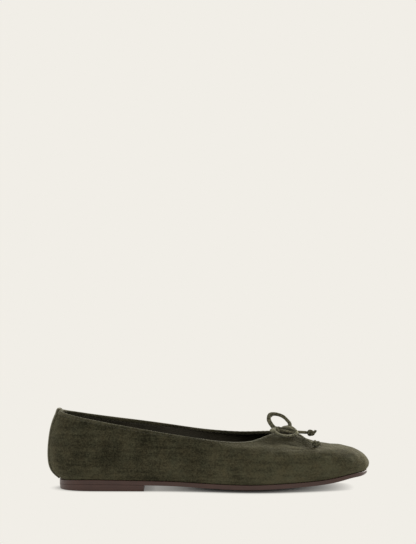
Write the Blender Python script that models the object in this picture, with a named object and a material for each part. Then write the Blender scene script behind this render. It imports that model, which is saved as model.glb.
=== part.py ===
"""A woman's ballet flat for the right foot, in suede with a thin leather sole and a cord bow.

Metres, +Z up, toe towards +X, little-toe side towards -Y.
The origin is on the floor, at the middle of the shoe's box.
"""
import math

import bmesh
import bpy
import numpy as np
from mathutils import Vector

# Driving sizes of the shoe
SHOE_LENGTH = 0.252         # from the rearmost point of the counter to the tip of the toe
BALL_WIDTH = 0.084          # upper, across the ball of the foot
SOLE_WIDTH = 0.077          # feather line, across the ball of the foot
OPENING_WIDTH = 0.0576      # widest part of the foot opening
BACK_HEIGHT = 0.062         # top of the counter above the floor
THROAT_HEIGHT = 0.0435      # front of the opening above the floor
BULGE_HEIGHT = 0.025        # widest line of the upper at the back
SEAT_HEIGHT = 0.0086        # top of the sole under the heel
TOE_SPRING = 0.0138         # top of the sole at the tip of the toe

# Thicknesses and small parts
UPPER_WALL = 0.0018         # suede, stiffening and lining together
TURNED_EDGE = 0.0045        # upper's edge turned in over the sole
SOLE_THICKNESS = 0.0034
SOLE_EDGE = 0.0008          # sole standing out past the feather line
SOLE_ROUNDING = 0.0005
HEEL_LENGTH = 0.0655        # heel block, back to breast
HEEL_TAPER = 0.0004
INSOLE_THICKNESS = 0.0014
CASING_HEIGHT = 0.0036      # folded edge that the cord runs in
CASING_PROUD = 0.0005       # casing's step past the wall, each side
STRIP_WIDTH = 0.015         # back strip over the heel seam
STRIP_THICKNESS = 0.0008
CORD_DIAMETER = 0.0024
KNOT_LENGTH = 0.0068        # bow's knot along the shoe
KNOT_WIDTH = 0.0060
KNOT_THICKNESS = 0.0036
KNOT_AHEAD = 0.500          # share of its length by which its middle lies before the opening
END_KNOT_LENGTH = 0.0064
END_KNOT_THICKNESS = 0.0046
NUB_LENGTH = 0.0020         # cord's cut end past its knot
FIT_GAP = 0.0003

# Fineness of the surfaces
STATIONS = 42               # from heel to toe, on each side
ROUND_END = 0.35            # how much closer the stations lie at heel and toe
WALL_STEPS = 14
LOW_CROWDING = 1.5          # how much closer the wall's steps lie towards the sole
LINING_STEPS = 8
SOLE_STEPS = 6              # across the sole
SKIN_SAMPLES = 48
NORMAL_REACH = 0.0006       # either side of a point, to find the wall's slope there
STRIP_COLUMNS = 8
STRIP_ROWS = 12
KNOT_SIDES = 12
LOOP_POINTS = 20            # along each loop of the bow
END_POINTS = 10             # along each end

# Three lines around the shoe, each from heel (turn 0) to toe (turn 1).
# along is a share of SHOE_LENGTH, half of the line's own half width, swing of BALL_WIDTH
# towards the big-toe side.
FEATHER_LINE = (
    # turn  along   half   swing
    (0.00, 0.0422, 0.000, 0.000),
    (0.04, 0.0510, 0.275, 0.000),
    (0.08, 0.0755, 0.485, 0.000),
    (0.12, 0.1110, 0.603, 0.000),
    (0.18, 0.1790, 0.645, 0.000),
    (0.28, 0.2980, 0.640, -0.010),
    (0.38, 0.4050, 0.655, -0.024),
    (0.50, 0.5280, 0.806, -0.030),
    (0.60, 0.6270, 0.962, -0.014),
    (0.68, 0.7063, 1.000, 0.019),
    (0.76, 0.7857, 0.935, 0.050),
    (0.83, 0.8571, 0.805, 0.072),
    (0.89, 0.9167, 0.640, 0.083),
    (0.94, 0.9603, 0.440, 0.088),
    (0.97, 0.9815, 0.256, 0.090),
    (1.00, 0.9905, 0.000, 0.091),
)

# up is a share of BULGE_HEIGHT
WIDEST_LINE = (
    # turn  along   half   swing   up
    (0.00, 0.0044, 0.000, 0.000, 1.00),
    (0.04, 0.0135, 0.265, 0.000, 1.00),
    (0.08, 0.0395, 0.492, 0.000, 1.00),
    (0.12, 0.0820, 0.635, 0.000, 1.00),
    (0.18, 0.1560, 0.708, 0.000, 0.98),
    (0.28, 0.2860, 0.710, -0.007, 0.95),
    (0.38, 0.4010, 0.726, -0.019, 0.91),
    (0.50, 0.5280, 0.843, -0.028, 0.80),
    (0.60, 0.6270, 0.962, -0.014, 0.71),
    (0.68, 0.7083, 1.000, 0.019, 0.67),
    (0.76, 0.7897, 0.933, 0.050, 0.67),
    (0.83, 0.8611, 0.810, 0.072, 0.69),
    (0.89, 0.9210, 0.648, 0.083, 0.71),
    (0.94, 0.9660, 0.448, 0.088, 0.73),
    (0.97, 0.9890, 0.258, 0.090, 0.735),
    (1.00, 1.0000, 0.000, 0.091, 0.74),
)

# back and throat are shares of BACK_HEIGHT and THROAT_HEIGHT, added together;
# rise is a share of THROAT_HEIGHT by which the big-toe side stands above the mean.
TOP_LINE = (
    # turn  along   half   swing   back   throat  rise
    (0.00, 0.0355, 0.000, 0.000, 1.000, 0.000, 0.000),
    (0.04, 0.0410, 0.271, 0.000, 0.988, 0.000, 0.000),
    (0.08, 0.0575, 0.493, 0.000, 0.966, 0.000, 0.000),
    (0.12, 0.0853, 0.653, 0.000, 0.938, 0.004, 0.002),
    (0.18, 0.1468, 0.799, 0.000, 0.850, 0.064, 0.007),
    (0.28, 0.2698, 0.924, -0.003, 0.620, 0.278, 0.022),
    (0.38, 0.3690, 0.979, -0.007, 0.380, 0.533, 0.029),
    (0.50, 0.4762, 1.000, -0.005, 0.160, 0.755, 0.033),
    (0.60, 0.5476, 0.951, 0.002, 0.060, 0.849, 0.041),
    (0.68, 0.5972, 0.861, 0.012, 0.020, 0.891, 0.043),
    (0.76, 0.6389, 0.708, 0.024, 0.000, 0.934, 0.037),
    (0.83, 0.6687, 0.535, 0.033, 0.000, 0.966, 0.018),
    (0.89, 0.6897, 0.368, 0.038, 0.000, 0.988, 0.006),
    (0.94, 0.7032, 0.208, 0.041, 0.000, 0.998, 0.000),
    (0.97, 0.7083, 0.104, 0.042, 0.000, 1.000, 0.000),
    (1.00, 0.7103, 0.000, 0.042, 0.000, 1.000, 0.000),
)

# Shape of the wall between those lines. The low point is given by shares of the way
# from feather line to widest line, the knee, mid and high points from widest line to top line.
WALL_SHAPE = (
    # turn low_out low_up knee_in knee_up mid_in mid_up high_in high_up
    (0.00, 0.72, 0.36, 0.07, 0.33, 0.36, 0.67, 0.67, 0.85),
    (0.18, 0.68, 0.36, 0.08, 0.34, 0.38, 0.69, 0.69, 0.86),
    (0.38, 0.66, 0.36, 0.10, 0.36, 0.42, 0.71, 0.73, 0.88),
    (0.60, 0.64, 0.37, 0.13, 0.43, 0.49, 0.78, 0.76, 0.91),
    (0.76, 0.64, 0.37, 0.14, 0.465, 0.52, 0.786, 0.78, 0.91),
    (0.89, 0.64, 0.37, 0.14, 0.447, 0.546, 0.636, 0.79, 0.883),
    (1.00, 0.64, 0.37, 0.136, 0.438, 0.524, 0.657, 0.79, 0.897),
)

# Height of the sole's top edge as shares of SEAT_HEIGHT and TOE_SPRING, added together,
# how far the middle of the sole hangs below its edge, as a share of the edge's height,
# and its thickness as a share of SOLE_THICKNESS.
SOLE_SIDE = (
    # along  seat   spring crown  thick
    (0.0385, 0.86, 0.000, 0.00, 1.00),
    (0.0900, 0.96, 0.000, 0.00, 1.00),
    (0.1800, 1.00, 0.000, 0.00, 1.00),
    (0.2980, 0.94, 0.000, 0.00, 1.00),
    (0.4050, 0.87, 0.000, 0.20, 1.00),
    (0.4920, 0.77, 0.000, 0.80, 1.03),
    (0.5800, 0.70, 0.005, 1.25, 1.06),
    (0.6670, 0.68, 0.030, 1.25, 1.06),
    (0.7540, 0.55, 0.170, 0.80, 1.03),
    (0.8500, 0.37, 0.380, 0.30, 1.00),
    (0.9090, 0.22, 0.625, 0.12, 0.97),
    (0.9480, 0.12, 0.815, 0.04, 0.90),
    (0.9850, 0.03, 0.950, 0.00, 0.76),
    (0.9980, 0.00, 1.000, 0.00, 0.62),
)

# Cross-section of the folded edge: share of its height down from the top, and how full
# it is there, as a share of its own half thickness.
CASING_SHAPE = (
    # down  full
    (0.00, 0.45),
    (0.25, 0.95),
    (0.70, 1.00),
    (1.00, 0.72),
)

# Outline of a knot with two turns of cord: share of its length, share of its half thickness
KNOT_SHAPE = (
    # along  full
    (-0.50, 0.00),
    (-0.48, 0.42),
    (-0.38, 0.78),
    (-0.24, 0.97),
    (-0.10, 0.94),
    (0.00, 0.86),
    (0.10, 0.94),
    (0.24, 1.00),
    (0.38, 0.80),
    (0.48, 0.44),
)

KNOT_AXIS = (1.0, 0.10, -0.20)

# Routes of the bow's cord, in millimetres from the middle of its knot
HIGH_LOOP_ROUTE = (
    (3.8, 2.6, 0.9), (5.5, 3.6, 0.8), (7.0, 4.7, 1.4), (7.6, 5.8, 3.1), (5.9, 7.1, 5.8),
    (3.3, 7.7, 8.4), (-0.3, 7.8, 10.3), (-3.8, 7.7, 11.1), (-6.8, 7.2, 10.9), (-8.6, 6.5, 9.4),
    (-8.9, 5.2, 6.8), (-7.5, 3.9, 3.9), (-5.8, 2.6, 1.7), (-3.8, 1.5, 0.5),
)
LOW_LOOP_ROUTE = (
    (3.7, -1.0, 1.3), (5.8, -0.8, 1.2), (8.6, -1.2, 0.8), (11.2, -2.9, -0.3), (12.8, -5.1, -1.7),
    (12.6, -7.3, -2.8), (10.6, -9.4, -3.7), (7.7, -11.3, -4.2), (4.5, -13.2, -4.2),
    (1.4, -14.2, -3.9), (-1.8, -13.7, -2.8), (-4.2, -12.0, -1.4), (-6.2, -9.8, -0.4),
    (-6.9, -6.8, 0.0), (-5.6, -4.2, 0.2), (-3.7, -2.2, 0.3),
)
FREE_END_ROUTE = (
    (4.2, 1.0, -1.4), (6.2, 0.9, -1.7), (8.8, 0.4, -2.1), (11.6, 0.1, -2.2), (14.6, -0.1, -2.4),
    (17.6, -0.5, -2.5), (20.3, -0.6, -2.7),
)
RESTING_END_ROUTE = (
    (4.1, -2.1, -1.5), (6.6, -2.6, -2.0), (9.6, -2.8, -2.7), (12.6, -3.0, -3.6),
    (14.7, -4.0, -4.3), (17.1, -6.3, -5.6), (19.5, -8.3, -7.1), (21.8, -9.9, -8.4),
    (23.9, -11.7, -9.2), (24.9, -12.8, -9.4),
)


def cubic(knots, values, at, flat_ends=False):
    """A smooth curve through the values; its ends are level, or else run straight on."""
    knots = np.asarray(knots, dtype=float)
    values = np.asarray(values, dtype=float).reshape(len(knots), -1)
    count = len(knots)
    step = np.diff(knots)
    rise = np.diff(values, axis=0) / step[:, None]
    matrix = np.zeros((count, count))
    right = np.zeros_like(values)
    for i in range(1, count - 1):
        matrix[i, i - 1] = 1.0 / step[i - 1]
        matrix[i, i] = 2.0 / step[i - 1] + 2.0 / step[i]
        matrix[i, i + 1] = 1.0 / step[i]
        right[i] = 3.0 * (rise[i - 1] / step[i - 1] + rise[i] / step[i])
    matrix[0, 0] = 1.0
    matrix[-1, -1] = 1.0
    if not flat_ends:
        matrix[0, 1] = 0.5
        matrix[-1, -2] = 0.5
        right[0] = 1.5 * rise[0]
        right[-1] = 1.5 * rise[-1]
    slopes = np.linalg.solve(matrix, right)
    at = np.clip(np.asarray(at, dtype=float), knots[0], knots[-1])
    span = np.clip(np.searchsorted(knots, at, side="right") - 1, 0, count - 2)
    width = step[span][:, None]
    share = (at - knots[span])[:, None] / width
    back = 1.0 - share
    return (values[span] * back ** 2 * (1.0 + 2.0 * share)
            + values[span + 1] * share ** 2 * (1.0 + 2.0 * back)
            + slopes[span] * width * share * back ** 2
            - slopes[span + 1] * width * share ** 2 * back)


def column(table, index, turns, flat=True):
    """One named column of a table, read at the given turns."""
    knots = [row[0] for row in table]
    values = [row[index] for row in table]
    return cubic(knots, values, turns, flat_ends=flat)[:, 0]


def middle_swing():
    """How far the middle of the upper's own width lies from the heel's middle line."""
    turns = np.linspace(0.0, 1.0, 400)
    half = column(WIDEST_LINE, 2, turns, flat=False) / 2
    swing = column(WIDEST_LINE, 3, turns)
    return (np.max(swing + half) + np.min(swing - half)) / 2 * BALL_WIDTH


MIDDLE_SWING = middle_swing()


def line_in_plan(table, width, turns, side):
    """X and Y of one of the lines around the shoe; side is -1 outside, +1 inside."""
    x = column(table, 1, turns) * SHOE_LENGTH - SHOE_LENGTH / 2
    half = column(table, 2, turns, flat=False) * width / 2
    swing = column(table, 3, turns) * BALL_WIDTH
    return x, side * half + swing - MIDDLE_SWING


def sole_plan():
    """The feather line in plan: X, and Y on the outer and the inner side."""
    turns = np.linspace(0.0, 1.0, 400)
    x, outer = line_in_plan(FEATHER_LINE, SOLE_WIDTH, turns, -1.0)
    return x, outer, line_in_plan(FEATHER_LINE, SOLE_WIDTH, turns, 1.0)[1]


SOLE_PLAN = sole_plan()


def sole_edge(x):
    """Height of the sole's top edge, share of its crown, and thickness at each x."""
    along = np.asarray(x) / SHOE_LENGTH + 0.5
    up = column(SOLE_SIDE, 1, along) * SEAT_HEIGHT + column(SOLE_SIDE, 2, along) * TOE_SPRING
    return up, column(SOLE_SIDE, 3, along), column(SOLE_SIDE, 4, along) * SOLE_THICKNESS


def sole_top(x, across):
    """Height of the sole's top; across runs from -1 at one edge to 1 at the other."""
    up, crown, thickness = sole_edge(x)
    return up - crown * (up - thickness) * (1.0 - across ** 2)


def sole_bottom(x, across):
    """Underside of the sole, flat on the floor in the middle of the tread."""
    return np.maximum(sole_top(x, across) - sole_edge(x)[2], 0.0)


def station_turns():
    even = np.linspace(0.0, 1.0, STATIONS + 1)
    return even - ROUND_END * np.sin(2 * math.pi * even) / (2 * math.pi)


def around(turns):
    """Turns and sides all around the shoe: heel, outer side, toe, inner side."""
    turns = np.concatenate((turns, turns[-2:0:-1]))
    half = len(turns) // 2
    side = np.concatenate((-np.ones(half + 1), np.ones(len(turns) - half - 1)))
    return turns, side


def wall_profiles(turns, side):
    """Fine profiles of the upper's outside, from feather line to top line."""
    feather_x, feather_y = line_in_plan(FEATHER_LINE, SOLE_WIDTH, turns, side)
    feather_z = sole_edge(feather_x)[0] + FIT_GAP
    widest_x, widest_y = line_in_plan(WIDEST_LINE, BALL_WIDTH, turns, side)
    widest_z = column(WIDEST_LINE, 4, turns) * BULGE_HEIGHT
    top_x, top_y = line_in_plan(TOP_LINE, OPENING_WIDTH, turns, side)
    top_z = (column(TOP_LINE, 4, turns) * BACK_HEIGHT + column(TOP_LINE, 5, turns) * THROAT_HEIGHT
             + side * column(TOP_LINE, 6, turns) * THROAT_HEIGHT)
    feather = np.stack((feather_x, feather_y, feather_z), axis=1)
    widest = np.stack((widest_x, widest_y, widest_z), axis=1)
    top = np.stack((top_x, top_y, top_z), axis=1)
    low_out, low_up, knee_in, knee_up, mid_in, mid_up, high_in, high_up = (
        column(WALL_SHAPE, index, turns)[:, None] for index in range(1, 9))

    def between(start, end, level, lift):
        point = start + (end - start) * level
        point[:, 2:] = start[:, 2:] + (end - start)[:, 2:] * lift
        return point

    low = between(feather, widest, low_out, low_up)
    knee = between(widest, top, knee_in, knee_up)
    mid = between(widest, top, mid_in, mid_up)
    high = between(widest, top, high_in, high_up)
    profiles = []
    for points in zip(feather, low, widest, knee, mid, high, top):
        points = np.array(points)
        spans = np.linalg.norm(np.diff(points, axis=0), axis=1)
        knots = np.concatenate(([0.0], np.cumsum(spans)))
        profiles.append(cubic(knots, points, np.linspace(0.0, knots[-1], SKIN_SAMPLES)))
    return np.array(profiles)


def walk(profiles, distances):
    """Points at given distances along each profile, measured from its top."""
    result = []
    for profile, wanted in zip(profiles, distances):
        down = profile[::-1]
        spans = np.linalg.norm(np.diff(down, axis=0), axis=1)
        length = np.concatenate(([0.0], np.cumsum(spans)))
        result.append([[np.interp(d, length, down[:, k]) for k in range(3)] for d in wanted])
    return np.array(result)


def profile_lengths(profiles):
    return np.linalg.norm(np.diff(profiles, axis=1), axis=2).sum(axis=1)


def crowded_steps(count):
    """Shares from the top of a profile to its foot, closer together near the foot."""
    return 1.0 - (1.0 - np.linspace(0.0, 1.0, count + 1)) ** LOW_CROWDING


def skin(profiles, distances, closed=True):
    """Points and outward normals at given distances from the top of each profile."""
    distances = np.array(distances)
    face = walk(profiles, distances)
    down = walk(profiles, distances + NORMAL_REACH) - walk(profiles, distances - NORMAL_REACH)
    if closed:
        along = np.roll(face, -1, axis=0) - np.roll(face, 1, axis=0)
    else:
        along = np.gradient(face, axis=0)
    normal = np.cross(down, along)
    return face, normal / np.linalg.norm(normal, axis=2)[:, :, None]


def material(name, colour, roughness, metallic=0.0):
    shade = bpy.data.materials.new(name)
    shade.use_nodes = True
    shader = shade.node_tree.nodes["Principled BSDF"]
    shader.inputs["Base Color"].default_value = (*colour, 1.0)
    shader.inputs["Roughness"].default_value = roughness
    shader.inputs["Metallic"].default_value = metallic
    return shade


def finish(name, bm, shade):
    """Turn the working mesh into a named, smooth-shaded object."""
    bmesh.ops.remove_doubles(bm, verts=bm.verts, dist=1e-6)
    bmesh.ops.triangulate(bm, faces=bm.faces[:])
    bmesh.ops.recalc_face_normals(bm, faces=bm.faces[:])
    mesh = bpy.data.meshes.new(name)
    bm.to_mesh(mesh)
    bm.free()
    mesh.materials.append(shade)
    mesh.shade_smooth()
    mesh.set_sharp_from_angle(angle=math.radians(40))
    piece = bpy.data.objects.new(name, mesh)
    bpy.context.collection.objects.link(piece)
    return piece


def loft(rings, around_too, cap_start=False, cap_end=False):
    """Join rings of points into a skin; around_too also joins the last ring to the first."""
    bm = bmesh.new()
    loops = [[bm.verts.new(point) for point in ring] for ring in rings]
    count = len(loops[0])
    last = len(loops) if around_too else len(loops) - 1
    for i in range(last):
        here = loops[i]
        there = loops[(i + 1) % len(loops)]
        for j in range(count):
            k = (j + 1) % count
            bm.faces.new((here[j], here[k], there[k], there[j]))
    if cap_start:
        bm.faces.new(loops[0])
    if cap_end:
        bm.faces.new(loops[-1][::-1])
    return bm


def make_upper(turns, side, shade):
    """Hollow wall, open at the collar and underneath, with its lower edge turned in."""
    profiles = wall_profiles(turns, side)
    start = CASING_HEIGHT + FIT_GAP
    lengths = profile_lengths(profiles)
    outer_steps = crowded_steps(WALL_STEPS)
    outer = walk(profiles, [start + outer_steps * (total - start) for total in lengths])
    inner_steps = crowded_steps(LINING_STEPS)
    face, normal = skin(profiles, [start + inner_steps * (total - start) for total in lengths])
    lining = face - normal * UPPER_WALL
    under = rest_on_sole(*inset_outline(turns, side, TURNED_EDGE))
    corner = rest_on_sole(*inset_outline(turns, side, UPPER_WALL))
    lift = np.array((0.0, 0.0, UPPER_WALL))
    lining[:, -1] = corner + lift
    rings = [outer[:, i] for i in range(WALL_STEPS + 1)]
    rings += [corner, under, under + lift]
    rings += [lining[:, i] for i in range(LINING_STEPS, -1, -1)]
    return finish("upper", loft(rings, around_too=True), shade)


def inset_outline(turns, side, inset):
    """The feather line moved inwards in plan by a named distance."""
    x, y = line_in_plan(FEATHER_LINE, SOLE_WIDTH, turns, side)
    step = 1e-3
    x_next, y_next = line_in_plan(FEATHER_LINE, SOLE_WIDTH, np.minimum(turns + step, 1.0), side)
    x_back, y_back = line_in_plan(FEATHER_LINE, SOLE_WIDTH, np.maximum(turns - step, 0.0), side)
    run_x = x_next - x_back
    run_y = y_next - y_back
    run_x[(turns < step) | (turns > 1.0 - step)] = 0.0
    length = np.hypot(run_x, run_y)
    return x - inset * side * -run_y / length, y - inset * side * run_x / length


def across_sole(x, y):
    """Where a point lies across the sole, from -1 to 1."""
    outer = np.interp(x, SOLE_PLAN[0], SOLE_PLAN[1])
    inner = np.interp(x, SOLE_PLAN[0], SOLE_PLAN[2])
    half = np.maximum((inner - outer) / 2, 1e-4)
    return np.clip((y - (inner + outer) / 2) / half, -1.0, 1.0)


def rest_on_sole(x, y):
    """Points at the given places, just clear of the sole's top."""
    return np.stack((x, y, sole_top(x, across_sole(x, y)) + FIT_GAP), axis=1)


def make_casing(turns, side, shade):
    """Folded edge around the opening, with a rounded top."""
    profiles = wall_profiles(turns, side)
    down, full = np.array(CASING_SHAPE).T
    face, normal = skin(profiles, [down * CASING_HEIGHT] * len(turns))
    middle = face - normal * UPPER_WALL / 2
    swell = normal * (full * (UPPER_WALL / 2 + CASING_PROUD))[None, :, None]
    count = len(CASING_SHAPE)
    rings = [middle[:, i] + swell[:, i] for i in range(count)]
    rings += [middle[:, i] - swell[:, i] for i in range(count - 1, -1, -1)]
    return finish("topline_casing", loft(rings, around_too=True), shade)


def make_back_strip(shade):
    """Narrow strip over the seam at the back, from the sole to the casing."""
    near_turn = 0.03
    wing = np.linspace(1.0, -1.0, STRIP_COLUMNS + 1)
    side = np.where(wing < 0, -1.0, 1.0)
    steps = np.linspace(0.0, 1.0, STRIP_ROWS + 1)
    start = CASING_HEIGHT + FIT_GAP
    end = STRIP_THICKNESS + 3 * FIT_GAP
    sample = wall_profiles(np.array((near_turn,)), np.array((1.0,)))
    total = profile_lengths(sample)[0] - end
    widths = walk(sample, [start + steps * (total - start)])[0][:, 1] + MIDDLE_SWING
    under = []
    over = []
    for step, width in zip(steps, widths):
        profiles = wall_profiles(np.abs(wing) * near_turn * STRIP_WIDTH / 2 / width, side)
        lengths = profile_lengths(profiles)
        face, normal = skin(profiles, [[start + step * (t - end - start)] for t in lengths], False)
        under.append(face[:, 0] + normal[:, 0] * FIT_GAP)
        over.append(face[:, 0] + normal[:, 0] * (FIT_GAP + STRIP_THICKNESS))
    rings = [np.concatenate((low, high[::-1])) for low, high in zip(under, over)]
    return finish("back_strip", loft(rings, False, cap_start=True, cap_end=True), shade)


def across(start, end, surface):
    """Points between two edges of the sole, at the height of a surface."""
    share = np.linspace(0.0, 1.0, SOLE_STEPS + 1)[1:-1]
    x = start[0] + (end[0] - start[0]) * share
    y = start[1] + (end[1] - start[1]) * share
    return list(zip(x, y, surface(x, across_sole(x, y))))


def plate_rings(turns, edge, bottom, top):
    """Cross-sections of a flat piece; edge gives (inset, height share) down its side."""
    rings = []
    for turn in turns:
        flanks = []
        for side in (-1.0, 1.0):
            flank = []
            for inset, share in edge:
                x, y = inset_outline(np.array((turn,)), np.array((side,)), inset)
                place = across_sole(x, y)
                low = bottom(x, place)
                flank.append((x[0], y[0], (low + (top(x, place) - low) * share)[0]))
            flanks.append(flank)
        outer, inner = flanks
        rings.append(outer[::-1] + across(outer[0], inner[0], top)
                     + inner + across(inner[-1], outer[-1], bottom))
    return rings


def make_outsole(turns, shade):
    round_share = SOLE_ROUNDING / SOLE_THICKNESS
    edge = (
        (-SOLE_EDGE + SOLE_ROUNDING / 2, 1.0),
        (-SOLE_EDGE, 1.0 - round_share / 2),
        (-SOLE_EDGE, round_share),
        (-SOLE_EDGE + SOLE_ROUNDING, 0.0),
    )
    rings = plate_rings(turns, edge, sole_bottom, sole_top)
    return finish("outsole", loft(rings, False), shade)


def make_insole(turns, shade):
    """Lining board inside, resting on the upper's turned-in edge."""
    rest = 2 * FIT_GAP + UPPER_WALL
    inset = UPPER_WALL + 2 * FIT_GAP

    def bottom(x, place):
        return sole_top(x, place) + rest

    def top(x, place):
        return bottom(x, place) + INSOLE_THICKNESS

    edge = ((inset, 1.0), (inset, 0.0))
    return finish("insole", loft(plate_rings(turns, edge, bottom, top), False), shade)


def make_heel_block(turns, shade):
    """Low heel under the seat, flat on the floor, cut straight at its breast."""
    back_x = line_in_plan(FEATHER_LINE, SOLE_WIDTH, np.zeros(1), 1.0)[0][0]
    fine = np.linspace(0.0, 1.0, 2000)
    fine_x = line_in_plan(FEATHER_LINE, SOLE_WIDTH, fine, 1.0)[0]
    breast = np.interp(back_x + HEEL_LENGTH, fine_x, fine)
    used = np.append(turns[turns < breast - 0.01], breast)

    def bottom(x, place):
        return 0.0 * x

    def top(x, place):
        return sole_bottom(x, place) - FIT_GAP

    edge = (
        (-SOLE_EDGE + SOLE_ROUNDING / 2, 1.0),
        (-SOLE_EDGE, 0.85),
        (-SOLE_EDGE + HEEL_TAPER, 0.12),
        (-SOLE_EDGE + HEEL_TAPER + SOLE_ROUNDING, 0.0),
    )
    rings = plate_rings(used, edge, bottom, top)
    return finish("heel_block", loft(rings, False, cap_end=True), shade)


def knot_place():
    """Middle of the bow's knot, seated on the front of the casing."""
    rim = wall_profiles(np.ones(1), np.ones(1))[0, -1]
    return Vector((rim[0] + KNOT_LENGTH * KNOT_AHEAD, rim[1], rim[2] + KNOT_THICKNESS / 2 + FIT_GAP))


def smooth_route(middle, route, count):
    points = np.array(route) / 1000.0
    spans = np.linalg.norm(np.diff(points, axis=0), axis=1)
    knots = np.concatenate(([0.0], np.cumsum(spans)))
    curve = cubic(knots, points, np.linspace(0.0, knots[-1], count))
    return [middle + Vector(point) for point in curve]


def make_cord(name, middle, route, count, shade):
    """Round suede cord along a smooth route, with closed ends."""
    data = bpy.data.curves.new(name, "CURVE")
    data.dimensions = "3D"
    data.bevel_depth = CORD_DIAMETER / 2
    data.bevel_resolution = 2
    data.use_fill_caps = True
    spline = data.splines.new("POLY")
    points = smooth_route(middle, route, count)
    spline.points.add(len(points) - 1)
    for place, point in zip(spline.points, points):
        place.co = (*point, 1.0)
    data.materials.append(shade)
    cord = bpy.data.objects.new(name, data)
    bpy.context.collection.objects.link(cord)
    return points


def make_knot(name, middle, direction, length, width, thickness, shade, nub=0.0):
    """Tied knot: two turns of cord side by side, with a nub where the cut end comes out."""
    profile = list(KNOT_SHAPE)
    if nub:
        tip = 0.50 + nub / length
        share = CORD_DIAMETER / thickness
        profile += [(0.50, share), (tip, share), (tip, 0.0)]
    else:
        profile.append((0.50, 0.0))
    turn = Vector(direction).to_track_quat("X", "Z")
    angles = [2 * math.pi * i / KNOT_SIDES for i in range(KNOT_SIDES)]
    rings = []
    for along, share in profile:
        points = [(along * length, math.cos(angle) * share * width / 2,
                   math.sin(angle) * share * thickness / 2) for angle in angles]
        rings.append([middle + turn @ Vector(point) for point in points])
    return finish(name, loft(rings, False), shade)


def make_bow(suede):
    middle = knot_place()
    make_knot("bow_knot", middle, KNOT_AXIS, KNOT_LENGTH, KNOT_WIDTH, KNOT_THICKNESS, suede)
    make_cord("bow_loop_high", middle, HIGH_LOOP_ROUTE, LOOP_POINTS, suede)
    make_cord("bow_loop_low", middle, LOW_LOOP_ROUTE, LOOP_POINTS, suede)
    for name, route in (("free", FREE_END_ROUTE), ("resting", RESTING_END_ROUTE)):
        points = make_cord("bow_end_" + name, middle, route, END_POINTS, suede)
        run = (points[-1] - points[-2]).normalized()
        place = points[-1] + run * (FIT_GAP + END_KNOT_LENGTH / 2)
        make_knot("end_knot_" + name, place, run, END_KNOT_LENGTH, END_KNOT_THICKNESS,
                  END_KNOT_THICKNESS, suede, nub=NUB_LENGTH)


def main():
    for old in list(bpy.data.objects):
        bpy.data.objects.remove(old)
    suede = material("olive_suede", (0.040, 0.038, 0.022), 0.95)
    edge_suede = material("suede_edge", (0.060, 0.057, 0.036), 0.95)
    leather = material("brown_sole_leather", (0.055, 0.030, 0.022), 0.45)
    lining = material("dark_lining", (0.012, 0.010, 0.008), 0.75)
    turns = station_turns()
    ring_turns, side = around(turns)
    make_outsole(turns, leather)
    make_heel_block(turns, leather)
    make_upper(ring_turns, side, suede)
    make_insole(turns, lining)
    make_casing(ring_turns, side, edge_suede)
    make_back_strip(suede)
    make_bow(suede)


main()
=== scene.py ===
"""The looks of a women's ballet flat in olive suede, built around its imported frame.

Metres, +Z up, toe towards +X, little-toe side towards -Y and the camera.
"""
import math

import bpy
import numpy as np
from mathutils import Matrix, Vector, noise


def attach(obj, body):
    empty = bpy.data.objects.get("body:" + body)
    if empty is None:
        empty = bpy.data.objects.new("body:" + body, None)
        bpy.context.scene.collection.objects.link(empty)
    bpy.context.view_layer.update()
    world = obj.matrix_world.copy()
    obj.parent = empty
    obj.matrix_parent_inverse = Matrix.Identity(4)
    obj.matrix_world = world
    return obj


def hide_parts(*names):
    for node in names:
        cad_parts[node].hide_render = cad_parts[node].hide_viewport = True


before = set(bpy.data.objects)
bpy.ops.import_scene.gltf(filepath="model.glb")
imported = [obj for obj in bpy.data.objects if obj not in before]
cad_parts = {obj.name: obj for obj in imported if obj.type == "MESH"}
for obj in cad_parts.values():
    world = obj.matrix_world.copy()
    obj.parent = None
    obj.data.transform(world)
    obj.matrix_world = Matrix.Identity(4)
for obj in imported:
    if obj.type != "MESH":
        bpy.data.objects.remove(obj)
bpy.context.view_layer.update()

# Driving sizes of the shoe
SHOE_LENGTH = 0.252         # from the rearmost point of the counter to the tip of the toe
BALL_WIDTH = 0.084          # upper, across the ball of the foot
SOLE_WIDTH = 0.077          # feather line, across the ball of the foot
OPENING_WIDTH = 0.0576      # widest part of the foot opening
BACK_HEIGHT = 0.062         # top of the counter above the floor
THROAT_HEIGHT = 0.0435      # front of the opening above the floor
BULGE_HEIGHT = 0.025        # widest line of the upper at the back
SEAT_HEIGHT = 0.0086        # top of the sole under the heel
TOE_SPRING = 0.0138         # top of the sole at the tip of the toe

# Thicknesses and small parts
UPPER_WALL = 0.0018         # suede, stiffening and lining together
TURNED_EDGE = 0.0045        # upper's edge turned in over the sole
SOLE_THICKNESS = 0.0034
SOLE_EDGE = 0.0008          # sole standing out past the feather line
HEEL_LENGTH = 0.0655        # heel block, back to breast
INSOLE_THICKNESS = 0.0014
INSOLE_ROLL = 0.25          # share of it by which its edge rolls down
CASING_HEIGHT = 0.0036      # folded edge that the cord runs in
STRIP_WIDTH = 0.015         # back strip over the heel seam
STRIP_THICKNESS = 0.0008
KNOT_LENGTH = 0.0068        # bow's knot along the shoe
KNOT_WIDTH = 0.0060
KNOT_THICKNESS = 0.0036
KNOT_AHEAD = 0.500          # share of its length by which its middle lies before the opening
END_KNOT_LENGTH = 0.0064
END_KNOT_THICKNESS = 0.0046
FIT_GAP = 0.0003
HAIR_GAP = 0.0001           # between layers that lie on each other

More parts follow.
